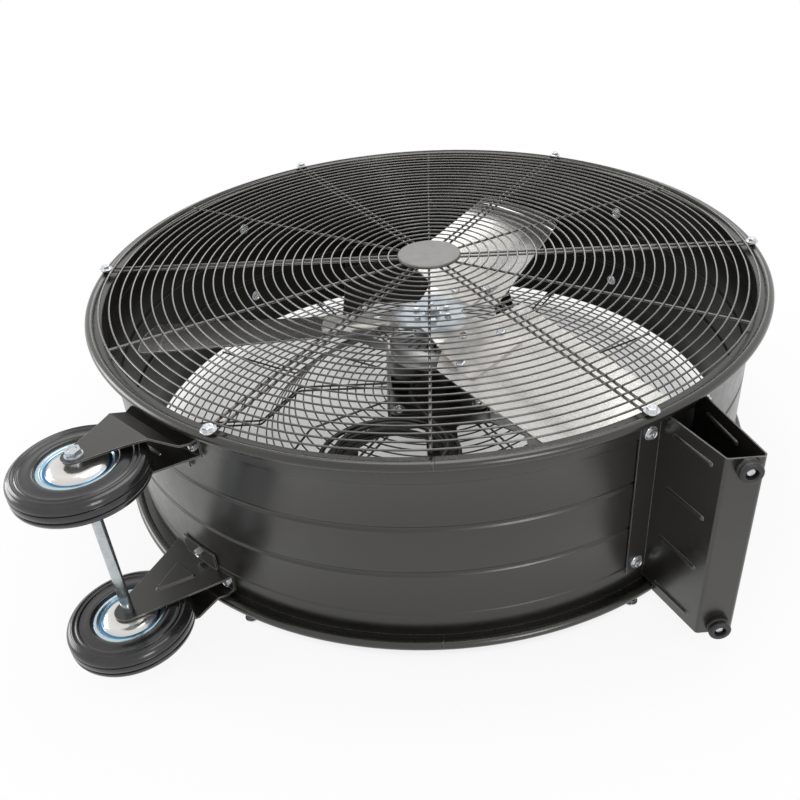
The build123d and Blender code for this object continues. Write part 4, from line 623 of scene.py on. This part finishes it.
def turned_tree():
    tree, given = new_tree("turned_section", [
        ("Section points", "NodeSocketInt"), ("Steps round", "NodeSocketInt"),
        ("Finish", "NodeSocketMaterial")])
    rows = maths(tree, "ADD", given["Section points"], 1)
    columns = maths(tree, "ADD", given["Steps round"], 1)
    grid = node(tree, "GeometryNodeMeshGrid", links={"Vertices X": rows, "Vertices Y": columns})
    index = node(tree, "GeometryNodeInputIndex").outputs[0]
    row = maths(tree, "FLOOR", maths(tree, "DIVIDE", maths(tree, "ADD", index, 0.5), columns))
    column = maths(tree, "SUBTRACT", index, maths(tree, "MULTIPLY", row, columns))
    point = maths(tree, "FLOORED_MODULO", row, given["Section points"])
    where = node(tree, "GeometryNodeInputPosition").outputs[0]
    sampled = node(tree, "GeometryNodeSampleIndex", data_type="FLOAT_VECTOR",
                   links={"Geometry": given["Geometry"], "Value": where, "Index": point})
    parts = node(tree, "ShaderNodeSeparateXYZ", links={0: sampled.outputs[0]})
    angle = maths(tree, "DIVIDE", maths(tree, "MULTIPLY", column, 2 * math.pi), given["Steps round"])
    x = maths(tree, "MULTIPLY", parts.outputs["X"], maths(tree, "COSINE", angle))
    y = maths(tree, "MULTIPLY", parts.outputs["X"], maths(tree, "SINE", angle))
    bent = node(tree, "ShaderNodeCombineXYZ", links={"X": x, "Y": y, "Z": parts.outputs["Z"]})
    placed = node(tree, "GeometryNodeSetPosition",
                  links={"Geometry": grid.outputs[0], "Position": bent.outputs[0]})
    merged = node(tree, "GeometryNodeMergeByDistance", {"Distance": MERGE_DISTANCE},
                  {"Geometry": placed.outputs[0]})
    flipped = node(tree, "GeometryNodeFlipFaces", links={"Mesh": merged.outputs[0]})
    end_of_tree(tree, flipped.outputs[0], given["Finish"])
    return tree


turning = turned_tree()
print("nodes in the turning tree:", len(turning.nodes))


# %% Turning a section
def turned(section, steps, material, seat):
    """A mesh from a section of (radius, height) points in millimetres, carried to its seat."""
    points = bpy.data.meshes.new("section")
    points.from_pydata([(r * MM, 0, z * MM) for r, z in section], [], [])
    mesh = grown(turning, {"Section points": len(section), "Steps round": steps, "Finish": material}, points)
    mesh.transform(seat)
    return mesh


def at_height(z, x=0.0, y=0.0):
    """A seat z millimetres up, on the axis through x and y in metres."""
    return Matrix.Translation((x, y, z * MM))


def mirrored(points):
    """A section's upper half, completed by its mirror image."""
    return points + [(r, -z) for r, z in reversed(points) if z != 0]


def around(radius, angle, z):
    """The place at an angle round the drum's axis, in degrees."""
    return (radius * math.cos(math.radians(angle)), radius * math.sin(math.radians(angle)), z)


# %% [markdown]
# ## The rolled drum
# The drum is one rolled sheet between two rims that are curled into tubes. Its end bands are a little wider
# than the middle, which has two round grooves pressed in. The CAD mesh's facets would show in the paint
# even when it is smoothed, so the wall is turned again with many more steps, which gives the long
# reflections of rolled sheet.

# %% The wall
DRUM_RADIUS = 554
SHEET = 1.5
REAR_RIM_Z = 29
RIM_DEPTH = 326
MIDDLE_Z = REAR_RIM_Z + RIM_DEPTH / 2
GROOVE_FROM_MIDDLE, GROOVE_HALF, GROOVE_DEPTH, GROOVE_SHOULDER = 41.8, 5.0, 2.5, 0.8
GROOVE_STEPS = 10
BAND_STEP, STEP_SOFTENED = 1.5, 0.25
STEP_HEIGHTS = (118.9, 119.6, 120.9, 121.6)  # above the middle, where the wall widens into its end band
WALL_END = 162.1
DRUM_STEPS = 288


def wall_points(inset):
    """One face of the wall from the middle to its front edge, as heights above the middle."""
    radius = DRUM_RADIUS - inset
    points = [(radius, 0), (radius, GROOVE_FROM_MIDDLE - GROOVE_HALF - GROOVE_SHOULDER)]
    for k in range(GROOVE_STEPS + 1):
        across = -1 + 2 * k / GROOVE_STEPS
        dip = GROOVE_DEPTH * (1 - across * across) ** 0.75
        points.append((radius - dip, GROOVE_FROM_MIDDLE + GROOVE_HALF * across))
    points.append((radius, GROOVE_FROM_MIDDLE + GROOVE_HALF + GROOVE_SHOULDER))
    widened = (0, STEP_SOFTENED, BAND_STEP - STEP_SOFTENED, BAND_STEP)
    points += [(radius + more, z) for more, z in zip(widened, STEP_HEIGHTS)]
    return points + [(radius + BAND_STEP, WALL_END)]


outer_face = wall_points(0)
inner_face = wall_points(SHEET)
wall_section = ([(r, -z) for r, z in reversed(outer_face)][:-1] + outer_face
                + list(reversed(inner_face)) + [(r, -z) for r, z in inner_face][1:])
wall_mesh = turned(wall_section, DRUM_STEPS, wall_coat, at_height(MIDDLE_Z))
wall = piece_from(wall_mesh, "rolled_wall", "frame", wall_coat, 50)
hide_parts("drum_shell")
print("wall faces:", len(wall.data.polygons))

# %% [markdown]
# ## Rims
# Each end of the drum has a rim: sheet curled outwards into a tube, with a flat ledge back to the wall. The
# curl is an arc between the ledge's two faces, so the section is worked out and not drawn by hand.

# %% The rims
RIM_RADIUS = DRUM_RADIUS + 18.5
RIM_TUBE = 7.5
CURL_STEPS = 28
FRONT_RIM_Z = REAR_RIM_Z + RIM_DEPTH
LEDGE_MEETS = math.degrees(math.asin(SHEET / 2 / RIM_TUBE))

curl = []
for k in range(CURL_STEPS + 1):
    angle = math.radians(LEDGE_MEETS + k * (360 - 2 * LEDGE_MEETS) / CURL_STEPS)
    curl.append((RIM_RADIUS - RIM_TUBE * math.cos(angle), -RIM_TUBE * math.sin(angle)))
rim_section = [(DRUM_RADIUS, -SHEET / 2)] + curl + [(DRUM_RADIUS, SHEET / 2)]
for side, z in (("rear", REAR_RIM_Z), ("front", FRONT_RIM_Z)):
    mesh = turned(rim_section, DRUM_STEPS, rim_coat, at_height(z))
    rim = piece_from(mesh, f"rolled_{side}_rim", "frame", rim_coat, 40)
    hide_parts(f"{side}_rim")
print("rim section points:", len(rim_section))

# %% [markdown]
# ## Tyres
# The solid tyres have a dished sidewall with raised lines near its edge, and two grooves round the tread.
# Displacing a plain torus could raise the lines, but a turned section gives them exact places with few
# faces. Its points run from the inner seat to the middle of the tread, and the other side mirrors them.

# %% Tyres
WHEEL_ANGLE = -134.3
AXLE_BESIDE_DRUM = 133
AXLE = Vector(around(DRUM_RADIUS + AXLE_BESIDE_DRUM, WHEEL_ANGLE, 0)) * MM
UPPER_WHEEL_Z, LOWER_WHEEL_Z = 321, 39.8
WHEELS = (("upper", UPPER_WHEEL_Z), ("lower", LOWER_WHEEL_Z))
TYRE_STEPS = 144
TYRE_SECTION = mirrored([
    (52, 0), (52, 16.2), (52.6, 17.8), (54.2, 18.9), (57, 19.5), (60, 19.2), (63, 18.5), (66, 18.1),
    (69.6, 17.9), (70.6, 18.2), (71.4, 19.2), (72.4, 19.9), (73.4, 20.0), (74.4, 19.5), (75.2, 18.7),
    (76.4, 18.5), (77.4, 18.9), (78.2, 19.7), (79.4, 20.2), (80.6, 19.9), (81.6, 18.9), (82.4, 17.9),
    (83.6, 17.5), (85.2, 16.7), (86.8, 15.4), (88.2, 13.4), (89.1, 11.2), (89.5, 9.2), (89.4, 7.9),
    (88.4, 7.3), (87.2, 6.9), (86.9, 5.6), (87.6, 4.6), (89.1, 4.2), (89.5, 3.2), (89.5, 0),
])
for name, z in WHEELS:
    mesh = turned(TYRE_SECTION, TYRE_STEPS, tyre_rubber, at_height(z, AXLE.x, AXLE.y))
    tyre = piece_from(mesh, f"{name}_tyre_moulding", f"{name}_wheel", tyre_rubber, 50)
    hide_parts(f"{name}_tyre")
print("tyre section points:", len(TYRE_SECTION))

# %% [markdown]
# ## Wheel discs
# A pressed disc has a pale bluish flange that holds the tyre, a narrow channel and a dome round the hub. The
# ramp paints the channel a deep, dark blue as shade in its groove, and the dome pale, brightest on its
# shoulder, as a painted highlight. Both wheels turn on one axle, so one material does for both: a ramp
# follows the distance from the axle, which is steadier than a separate material for each zone.


# %% The discs' zinc
DISC_REACH = 0.05  # metres from the axle to the ramp's end
# From the axle out: the dome, pale with a painted highlight on its shoulder, the channel darkened as painted
# shade, and the flange.
DISC_ZONES_LIT_AND_SHADED = [  # the dome, the blue channel and the flange
    (0.00, (0.56, 0.55, 0.53)), (0.62, (0.74, 0.73, 0.70)), (0.785, (0.64, 0.63, 0.61)),
    (0.800, (0.05, 0.17, 0.33)), (0.855, (0.07, 0.24, 0.42)),
    (0.885, (0.44, 0.58, 0.66)), (1.00, (0.52, 0.64, 0.70)),
]


def disc_zinc():
    made, tree, place = finish_nodes("pressed_disc_zinc")
    colour = ramp(tree, spread(tree, from_axis(tree, place, AXLE), 0.0, DISC_REACH), DISC_ZONES_LIT_AND_SHADED)
    worn = middling(tree, noise(tree, place, 180, 5.0, 0.6), (0.12, 0.24))
    dents = bump(tree, noise(tree, place, 45, 3.0), 0.0016, 0.35)
    surface(tree, colour, worn, dents, {"Metallic": 0.9})
    return made


# %% Wheel discs
DISC_STEPS = 96
DISC_SECTION = mirrored([
    (49, 0), (49, 13.4), (47.4, 14.6), (46.0, 14.0), (44.4, 11.4), (43.4, 10.9), (40.6, 10.9), (39.6, 11.6),
    (37.6, 14.4), (33.4, 16.8), (28.6, 18.1), (24, 18.4), (9.2, 18.4), (9.2, 20.4), (20, 20.5), (24, 20.4),
    (28.8, 19.9), (33.6, 18.4), (37.4, 16.1), (39.2, 13.6), (40.4, 12.9), (43.6, 12.9), (44.8, 13.6),
    (45.6, 15.4), (46.6, 16.0), (51.0, 16.0), (51.9, 15.2), (51.9, 0),
])
pressed = disc_zinc()
for name, z in WHEELS:
    mesh = turned(DISC_SECTION, DISC_STEPS, pressed, at_height(z, AXLE.x, AXLE.y))
    disc = piece_from(mesh, f"{name}_disc_pressing", f"{name}_wheel", pressed, 60)
    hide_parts(f"{name}_rim")
print("disc section points:", len(DISC_SECTION))

# %% [markdown]
# ## Rubber pads
# Each pad under the stand's front face is moulded with two soft rings and a groove between them, and a deep
# round recess for its screw. It is turned upright like the tyres, and then laid down with its seat towards
# the stand.

# %% Pads
PAD_SECTION = [
    (3.3, 0), (16.2, 0), (16.5, 0.6), (16.5, 4.6), (16.1, 5.6), (15.2, 6.3), (15.0, 7.2), (15.3, 8.0),
    (16.0, 8.8), (16.1, 11.4), (15.7, 13.2), (14.8, 14.4), (13.4, 15.0), (9.6, 15.0), (8.8, 14.7),
    (8.5, 14.0), (8.5, 6.0), (3.3, 6.0),
]
PAD_STEPS = 64
PAD_X, STAND_FACE_Y = DRUM_RADIUS - 191, -DRUM_RADIUS - 34
PAD_HEIGHTS = (("lower", 43.5), ("upper", 329.5))
laid = Matrix(((1, 0, 0, 0), (0, 0, -1, 0), (0, 1, 0, 0), (0, 0, 0, 1)))
for name, z in PAD_HEIGHTS:
    seat = Matrix.Translation(Vector((PAD_X, STAND_FACE_Y, z)) * MM) @ laid
    mesh = turned(PAD_SECTION, PAD_STEPS, pad_rubber, seat)
    pad = piece_from(mesh, f"{name}_pad_moulding", "frame", pad_rubber, 50)
    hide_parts(f"{name}_foot_pad")
print("pads at", PAD_HEIGHTS)

# %% [markdown]
# ## Guard rings
# Both guards are rows of welded wire rings, and a row follows a rule: the radius grows by the same pitch
# each time, and on the rear guard's cone the height changes by the same step too. Single tori would be
# dozens of objects, so the tree makes a point for each ring, puts a unit circle on it, scales it to the
# ring's radius and sweeps the wire's round section along them all.


# %% The ring tree
RING_STEPS = 160
WIRE_SIDES = 8


def by_index(tree, start, step, index):
    """start + step * index, as a field."""
    made = node(tree, "ShaderNodeMath", operation="MULTIPLY_ADD")
    for k, source in enumerate((step, index, start)):
        tree.links.new(source, made.inputs[k])
    return made.outputs[0]


def ring_tree():
    tree, given = new_tree("wire_ring_row", [
        ("Rings", "NodeSocketInt"), ("First radius", "NodeSocketFloat"), ("Radius step", "NodeSocketFloat"),
        ("First height", "NodeSocketFloat"), ("Height step", "NodeSocketFloat"),
        ("Wire radius", "NodeSocketFloat"), ("Finish", "NodeSocketMaterial")])
    index = node(tree, "GeometryNodeInputIndex").outputs[0]
    height = by_index(tree, given["First height"], given["Height step"], index)
    radius = by_index(tree, given["First radius"], given["Radius step"], index)
    seat = node(tree, "ShaderNodeCombineXYZ", links={"Z": height})
    points = node(tree, "GeometryNodePoints", links={"Count": given["Rings"], "Position": seat.outputs[0]})
    size = node(tree, "ShaderNodeCombineXYZ", {"Z": 1.0}, {"X": radius, "Y": radius})
    circle = node(tree, "GeometryNodeCurvePrimitiveCircle", {"Resolution": RING_STEPS, "Radius": 1.0})
    rings = node(tree, "GeometryNodeInstanceOnPoints",
                 links={"Points": points.outputs[0], "Instance": circle.outputs[0], "Scale": size.outputs[0]})
    loops = node(tree, "GeometryNodeRealizeInstances", links={"Geometry": rings.outputs[0]})
    wire = round_wire(tree, given["Wire radius"], WIRE_SIDES)
    tubes = node(tree, "GeometryNodeCurveToMesh", links={"Curve": loops.outputs[0], "Profile Curve": wire})
    end_of_tree(tree, tubes.outputs[0], given["Finish"])
    return tree


# %% Where the wires lie
SPOKE_WIRE, RING_WIRE = 4.2, 3.0
RING_PITCH = 16.7
FIRST_RING_RADIUS = 72
FRONT_SPOKE_Z = FRONT_RIM_Z + RIM_TUBE + SPOKE_WIRE / 2
REAR_SPOKE_Z = REAR_RIM_Z - RIM_TUBE - SPOKE_WIRE / 2
ON_SPOKES = (SPOKE_WIRE + RING_WIRE) / 2  # from a spoke's middle to a ring's
DISH_RADIUS, DISH_FOOT, DISH_DEPTH = 263, 350, 76
DISH_TOP_Z = REAR_SPOKE_Z + DISH_DEPTH
EDGE_FROM_FOOT = 6
FRONT_RINGS, MIDDLE_RINGS, CONE_RINGS, EDGE_RINGS = 30, 12, 6, 13

cone = Vector((DISH_FOOT - DISH_RADIUS, 0, -DISH_DEPTH))
beside_cone = Vector((-DISH_DEPTH, 0, DISH_RADIUS - DISH_FOOT)) * (ON_SPOKES / cone.length)
cone_step = cone / (CONE_RINGS + 1)
cone_start = Vector((DISH_RADIUS, 0, DISH_TOP_Z)) + cone_step + beside_cone
print("cone of the rear guard:", round(cone.length, 1), "mm long")

# %% Front and rear rings
ring_rows = {
    "front_guard_rings": (FRONT_RINGS, FIRST_RING_RADIUS, RING_PITCH, FRONT_SPOKE_Z + ON_SPOKES, 0),
    "rear_middle_rings": (MIDDLE_RINGS, FIRST_RING_RADIUS, RING_PITCH, DISH_TOP_Z - ON_SPOKES, 0),
    "rear_dish_rings": (CONE_RINGS, cone_start.x, cone_step.x, cone_start.z, cone_step.z),
    "rear_guard_rings": (EDGE_RINGS, DISH_FOOT + EDGE_FROM_FOOT, RING_PITCH, REAR_SPOKE_Z - ON_SPOKES, 0),
}
rings_tree = ring_tree()
for target, (count, radius, radius_step, height, height_step) in ring_rows.items():
    mesh = grown(rings_tree, {"Rings": count, "First radius": radius * MM, "Radius step": radius_step * MM,
                              "First height": height * MM, "Height step": height_step * MM,
                              "Wire radius": RING_WIRE / 2 * MM, "Finish": wire_coat})
    guard = piece_from(mesh, f"{target}_wire", "frame", wire_coat, 60)
    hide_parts(target)
    print(target, "faces:", len(guard.data.polygons))

# %% [markdown]
# ## Hex bolts
# Every bolt has a flat washer and a hexagon head. The head's corners are cut back by a cone, and forging
# leaves its top dished round a low middle. A Boolean cut of a prism and a cone leaves thin faces, so the
# bolt is a stack of rings with equally many points, where a hexagon turns into circles.


# %% One bolt
BOLT_SIDES = 24
BOLT_FLATS, BOLT_HEAD = 13, 5.3
WASHER_RADIUS, WASHER = 11, 1.6
FACE_SHARE = 0.93
HEAD_TOP = ((FACE_SHARE, 0), (0.76, 0), (0.66, 0.9), (0.34, 0.9), (0.22, 0.4))  # radius share, depth
CORNER_SLOPE = 0.5
HEAD_FOOT = 0.62  # share of the flats, where the washer's top meets the head
WASHER_CUT_BELOW, WASHER_CUT_ABOVE = 0.2, 0.3


def hexagon(z, cut=0.0):
    """A hexagon's outline: cut draws its corners down to a cone."""
    apothem = BOLT_FLATS / 2
    ring = []
    for k in range(BOLT_SIDES):
        angle = 2 * math.pi * k / BOLT_SIDES
        reach = apothem / math.cos((angle % (math.pi / 3)) - math.pi / 6)
        drop = cut * (reach - FACE_SHARE * apothem)
        ring.append((reach * math.cos(angle), reach * math.sin(angle), z - drop))
    return ring


def round_ring(radius, z):
    return [around(radius, 360 * k / BOLT_SIDES, z) for k in range(BOLT_SIDES)]


def rings_to_mesh(rings):
    """A closed mesh from rings of points, one after another, with a flat cap at each end."""
    work = bmesh.new()
    made = [[work.verts.new(Vector(p) * MM) for p in ring] for ring in rings]
    for one, two in zip(made, made[1:]):
        for k in range(len(one)):
            m = (k + 1) % len(one)
            work.faces.new((one[k], one[m], two[m], two[k]))
    work.faces.new(list(reversed(made[0])))
    work.faces.new(made[-1])
    bmesh.ops.recalc_face_normals(work, faces=work.faces)
    mesh = bpy.data.meshes.new("hex_bolt")
    work.to_mesh(mesh)
    work.free()
    return mesh


def bolt_mesh(washer, thick):
    """A washer and a hexagon head in one stack of rings, seated at z 0."""
    rings = []
    if washer:
        rings += [round_ring(washer - WASHER_CUT_BELOW, 0), round_ring(washer, WASHER_CUT_BELOW),
                  round_ring(washer, thick - WASHER_CUT_ABOVE), round_ring(washer - WASHER_CUT_ABOVE, thick),
                  round_ring(HEAD_FOOT * BOLT_FLATS, thick)]
    top = thick + BOLT_HEAD
    rings += [hexagon(thick), hexagon(top, CORNER_SLOPE)]
    rings += [round_ring(share * BOLT_FLATS / 2, top - depth) for share, depth in HEAD_TOP]
    return rings_to_mesh(rings)


m8 = bolt_mesh(WASHER_RADIUS, WASHER)
bare_m8 = bolt_mesh(0, 0)
print("bolt faces:", len(m8.polygons), "with a washer,", len(bare_m8.polygons), "without")

# %% [markdown]
# ## Bolts on their seats
# No two bolts stop at the same angle, so linked copies would need a turn each. The tree puts a copy on each
# seat, turns it to the seat's own direction, which is an attribute of the point, and spins it by a seeded
# random angle.


# %% The bolt tree
def bolt_tree():
    tree, given = new_tree("bolts_on_seats", [
        ("Bolt", "NodeSocketObject"), ("Seed", "NodeSocketInt"), ("Finish", "NodeSocketMaterial")])
    shape = node(tree, "GeometryNodeObjectInfo", links={"Object": given["Bolt"]})
    axis = node(tree, "GeometryNodeInputNamedAttribute", {"Name": "axis"}, data_type="FLOAT_VECTOR")
    aimed = node(tree, "FunctionNodeAlignRotationToVector", links={"Vector": axis.outputs[0]}, axis="Z")
    spin = node(tree, "FunctionNodeRandomValue", data_type="FLOAT")
    spin.inputs[2].default_value = 0.0
    spin.inputs[3].default_value = math.pi / 3
    tree.links.new(given["Seed"], spin.inputs["Seed"])
    about = node(tree, "FunctionNodeAxisAngleToRotation", {"Axis": (0, 0, 1)}, {"Angle": spin.outputs[1]})
    turned_by = node(tree, "FunctionNodeRotateRotation", rotation_space="LOCAL",
                     links={"Rotation": aimed.outputs[0], "Rotate By": about.outputs[0]})
    set_out = node(tree, "GeometryNodeInstanceOnPoints",
                   links={"Points": given["Geometry"], "Instance": shape.outputs["Geometry"],
                          "Rotation": turned_by.outputs[0]})
    end_of_tree(tree, set_out.outputs[0], given["Finish"])
    return tree


def seats_mesh(seats):
    """Points with an axis, from (place in millimetres, direction) pairs."""
    made = bpy.data.meshes.new("bolt_seats")
    made.from_pydata([Vector(place) * MM for place, _ in seats], [], [])
    axes = made.attributes.new("axis", "FLOAT_VECTOR", "POINT")
    for item, (_, direction) in zip(axes.data, seats):
        item.vector = Vector(direction).normalized()
    return made


bolts_tree = bolt_tree()
print("nodes in the bolt tree:", len(bolts_tree.nodes))


# %% Setting out bolts
def set_bolts(target, seats, shape, seed):
    holder = bpy.data.objects.new("one_bolt", shape)
    bpy.context.scene.collection.objects.link(holder)
    mesh = grown(bolts_tree, {"Bolt": holder, "Seed": seed, "Finish": bolt_zinc}, seats_mesh(seats))
    bpy.data.objects.remove(holder)
    made = piece_from(mesh, f"{target}_hex", "frame", bolt_zinc, 30)
    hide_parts(target)
    print(target, len(seats), "bolts")


def outwards(angle, way=1):
    """The direction away from the drum's axis, or towards it."""
    return (way * math.cos(math.radians(angle)), way * math.sin(math.radians(angle)), 0)


# %% Guard and motor bolts
UPWARDS, DOWNWARDS = (0, 0, 1), (0, 0, -1)
GUARD_BOLT_RADIUS = RIM_RADIUS - 2.5
MOTOR_BOLT_X, MOTOR_BOLT_Y, MOTOR_BOLT_Z = 72, 98, 108
GUARD_BOLTS, FIRST_BOLT_ANGLE = 6, -2.8


def guard_seats(z, axis):
    return [(around(GUARD_BOLT_RADIUS, FIRST_BOLT_ANGLE + 360 * k / GUARD_BOLTS, z), axis)
            for k in range(GUARD_BOLTS)]


set_bolts("front_guard_bolts", guard_seats(FRONT_SPOKE_Z + SPOKE_WIRE / 2, UPWARDS), m8, 1)
set_bolts("rear_guard_bolts", guard_seats(REAR_SPOKE_Z - SPOKE_WIRE / 2, DOWNWARDS), m8, 2)
motor_seats = [((x, y, MOTOR_BOLT_Z), UPWARDS) for x in (-MOTOR_BOLT_X, MOTOR_BOLT_X)
               for y in (-MOTOR_BOLT_Y, MOTOR_BOLT_Y)]
set_bolts("motor_bolts", motor_seats, m8, 3)

# %% Bolts on the drum's wall
SEAT_RADIUS = DRUM_RADIUS + 1.6
STAND_SHEET, BRACKET_SHEET = 2, 3
STAND_ANGLES = (-59.3, -51.2)
FLANGE_BOTTOM_Z, FLANGE_TOP_Z, FLANGE_BOLT_INSET = 62, 333, 16
BRACKET_BOLT_V, BRACKET_TAB_HEIGHT = 58, 30
INNER_ARM_Z = 21.7  # from a wheel's middle plane to the near face of its bracket's inner arm
BRACKET_BASES = ((UPPER_WHEEL_Z, 1, 8.5), (LOWER_WHEEL_Z, -1, 2.7))  # and the base's side and its far face
HANDLE_ANGLES, HANDLE_SPAN = (134.9, 39.7), 163
HANDLE_SEAT_RADIUS = 552.3

stand_turn = math.degrees((STAND_SHEET + FLANGE_BOLT_INSET) / SEAT_RADIUS)
foot_seats = [(around(SEAT_RADIUS + STAND_SHEET, a, z), outwards(a))
              for a in (STAND_ANGLES[0] - stand_turn, STAND_ANGLES[1] + stand_turn)
              for z in (FLANGE_BOTTOM_Z + FLANGE_BOLT_INSET, FLANGE_TOP_Z - FLANGE_BOLT_INSET)]
set_bolts("foot_bolts", foot_seats, m8, 4)

web_turn = math.degrees(math.asin(BRACKET_BOLT_V / SEAT_RADIUS))
bracket_seats = []
for wheel_z, side, base in BRACKET_BASES:
    web_z = wheel_z + side * (base - BRACKET_SHEET - INNER_ARM_Z) / 2
    tab_z = wheel_z - side * (INNER_ARM_Z + BRACKET_SHEET + BRACKET_TAB_HEIGHT / 2)
    for angle, z in ((WHEEL_ANGLE - web_turn, web_z), (WHEEL_ANGLE + web_turn, web_z), (WHEEL_ANGLE, tab_z)):
        bracket_seats.append((around(SEAT_RADIUS + BRACKET_SHEET, angle, z), outwards(angle)))
set_bolts("bracket_bolts", bracket_seats, bare_m8, 5)

handle_seats = [(around(HANDLE_SEAT_RADIUS, a, MIDDLE_Z + way * HANDLE_SPAN / 2), outwards(a, -1))
                for a in HANDLE_ANGLES for way in (-1, 1)]
set_bolts("handle_bolts", handle_seats, m8, 6)

# %% [markdown]
# ## Coiled cord
# A coil of black cord lies on the motor mount, between the motor and the drum's front wall. Separate rings
# would look stacked, so it is one tube: loose loops that wander in and out as they rise, with one end led
# into the motor's side along a Bezier curve. The tree sweeps a round section along the edges of a bare
# path.


# %% The cord tree
CORD_SIDES = 14


def swept_tree():
    tree, given = new_tree("swept_tube", [
        ("Tube radius", "NodeSocketFloat"), ("Finish", "NodeSocketMaterial")])
    route = node(tree, "GeometryNodeMeshToCurve", links={"Mesh": given["Geometry"]})
    section = round_wire(tree, given["Tube radius"], CORD_SIDES)
    tube = node(tree, "GeometryNodeCurveToMesh", {"Fill Caps": True},
                {"Curve": route.outputs[0], "Profile Curve": section})
    end_of_tree(tree, tube.outputs[0], given["Finish"])
    return tree


# %% The cord's path
CORD_RADIUS = 4.3
CORD_GAP = 0.3
MOUNT_TOP = 104
COIL_MIDDLE = Vector((-92, -264, 0))
COIL_REACH = (104, 88)
COIL_START = math.radians(150)
LOOP_STEPS, COIL_STEPS, LEAD_STEPS = 60, 280, 24
LOOP_RISE = 9.0
WANDER, WANDER_RATE, WANDER_START = 0.14, 0.37, 0.6
INTO_MOTOR = Vector((-40, -72, 150))
FROM_OUTSIDE = Vector((-25, -45, 0))
LEAD_PULL = 60

path = []
for k in range(COIL_STEPS + 1):
    a = COIL_START + 2 * math.pi * k / LOOP_STEPS
    wander = 1 + WANDER * math.sin(WANDER_RATE * a + WANDER_START)
    rise = MOUNT_TOP + CORD_RADIUS + CORD_GAP + LOOP_RISE * k / LOOP_STEPS
    x, y = COIL_REACH[0] * wander * math.cos(a), COIL_REACH[1] * wander * math.sin(a)
    path.append(COIL_MIDDLE + Vector((x, y, rise)))
last = path[-1]
one = last + (last - path[-2]).normalized() * LEAD_PULL
two = INTO_MOTOR + FROM_OUTSIDE
for k in range(1, LEAD_STEPS + 1):
    t = k / LEAD_STEPS
    s = 1 - t
    path.append(last * s ** 3 + one * 3 * t * s ** 2 + two * 3 * t * t * s + INTO_MOTOR * t ** 3)
print("cord length in metres:", round(sum((b - a).length for a, b in zip(path, path[1:])) * MM, 2))

# %% The cord
bare_path = bpy.data.meshes.new("cord_path")
bare_path.from_pydata([p * MM for p in path], [(k, k + 1) for k in range(len(path) - 1)], [])
cord_mesh = grown(swept_tree(), {"Tube radius": CORD_RADIUS * MM, "Finish": cord_plastic}, bare_path)
piece_from(cord_mesh, "coiled_cord", "frame", cord_plastic, 60)
print("cord faces:", len(cord_mesh.polygons))
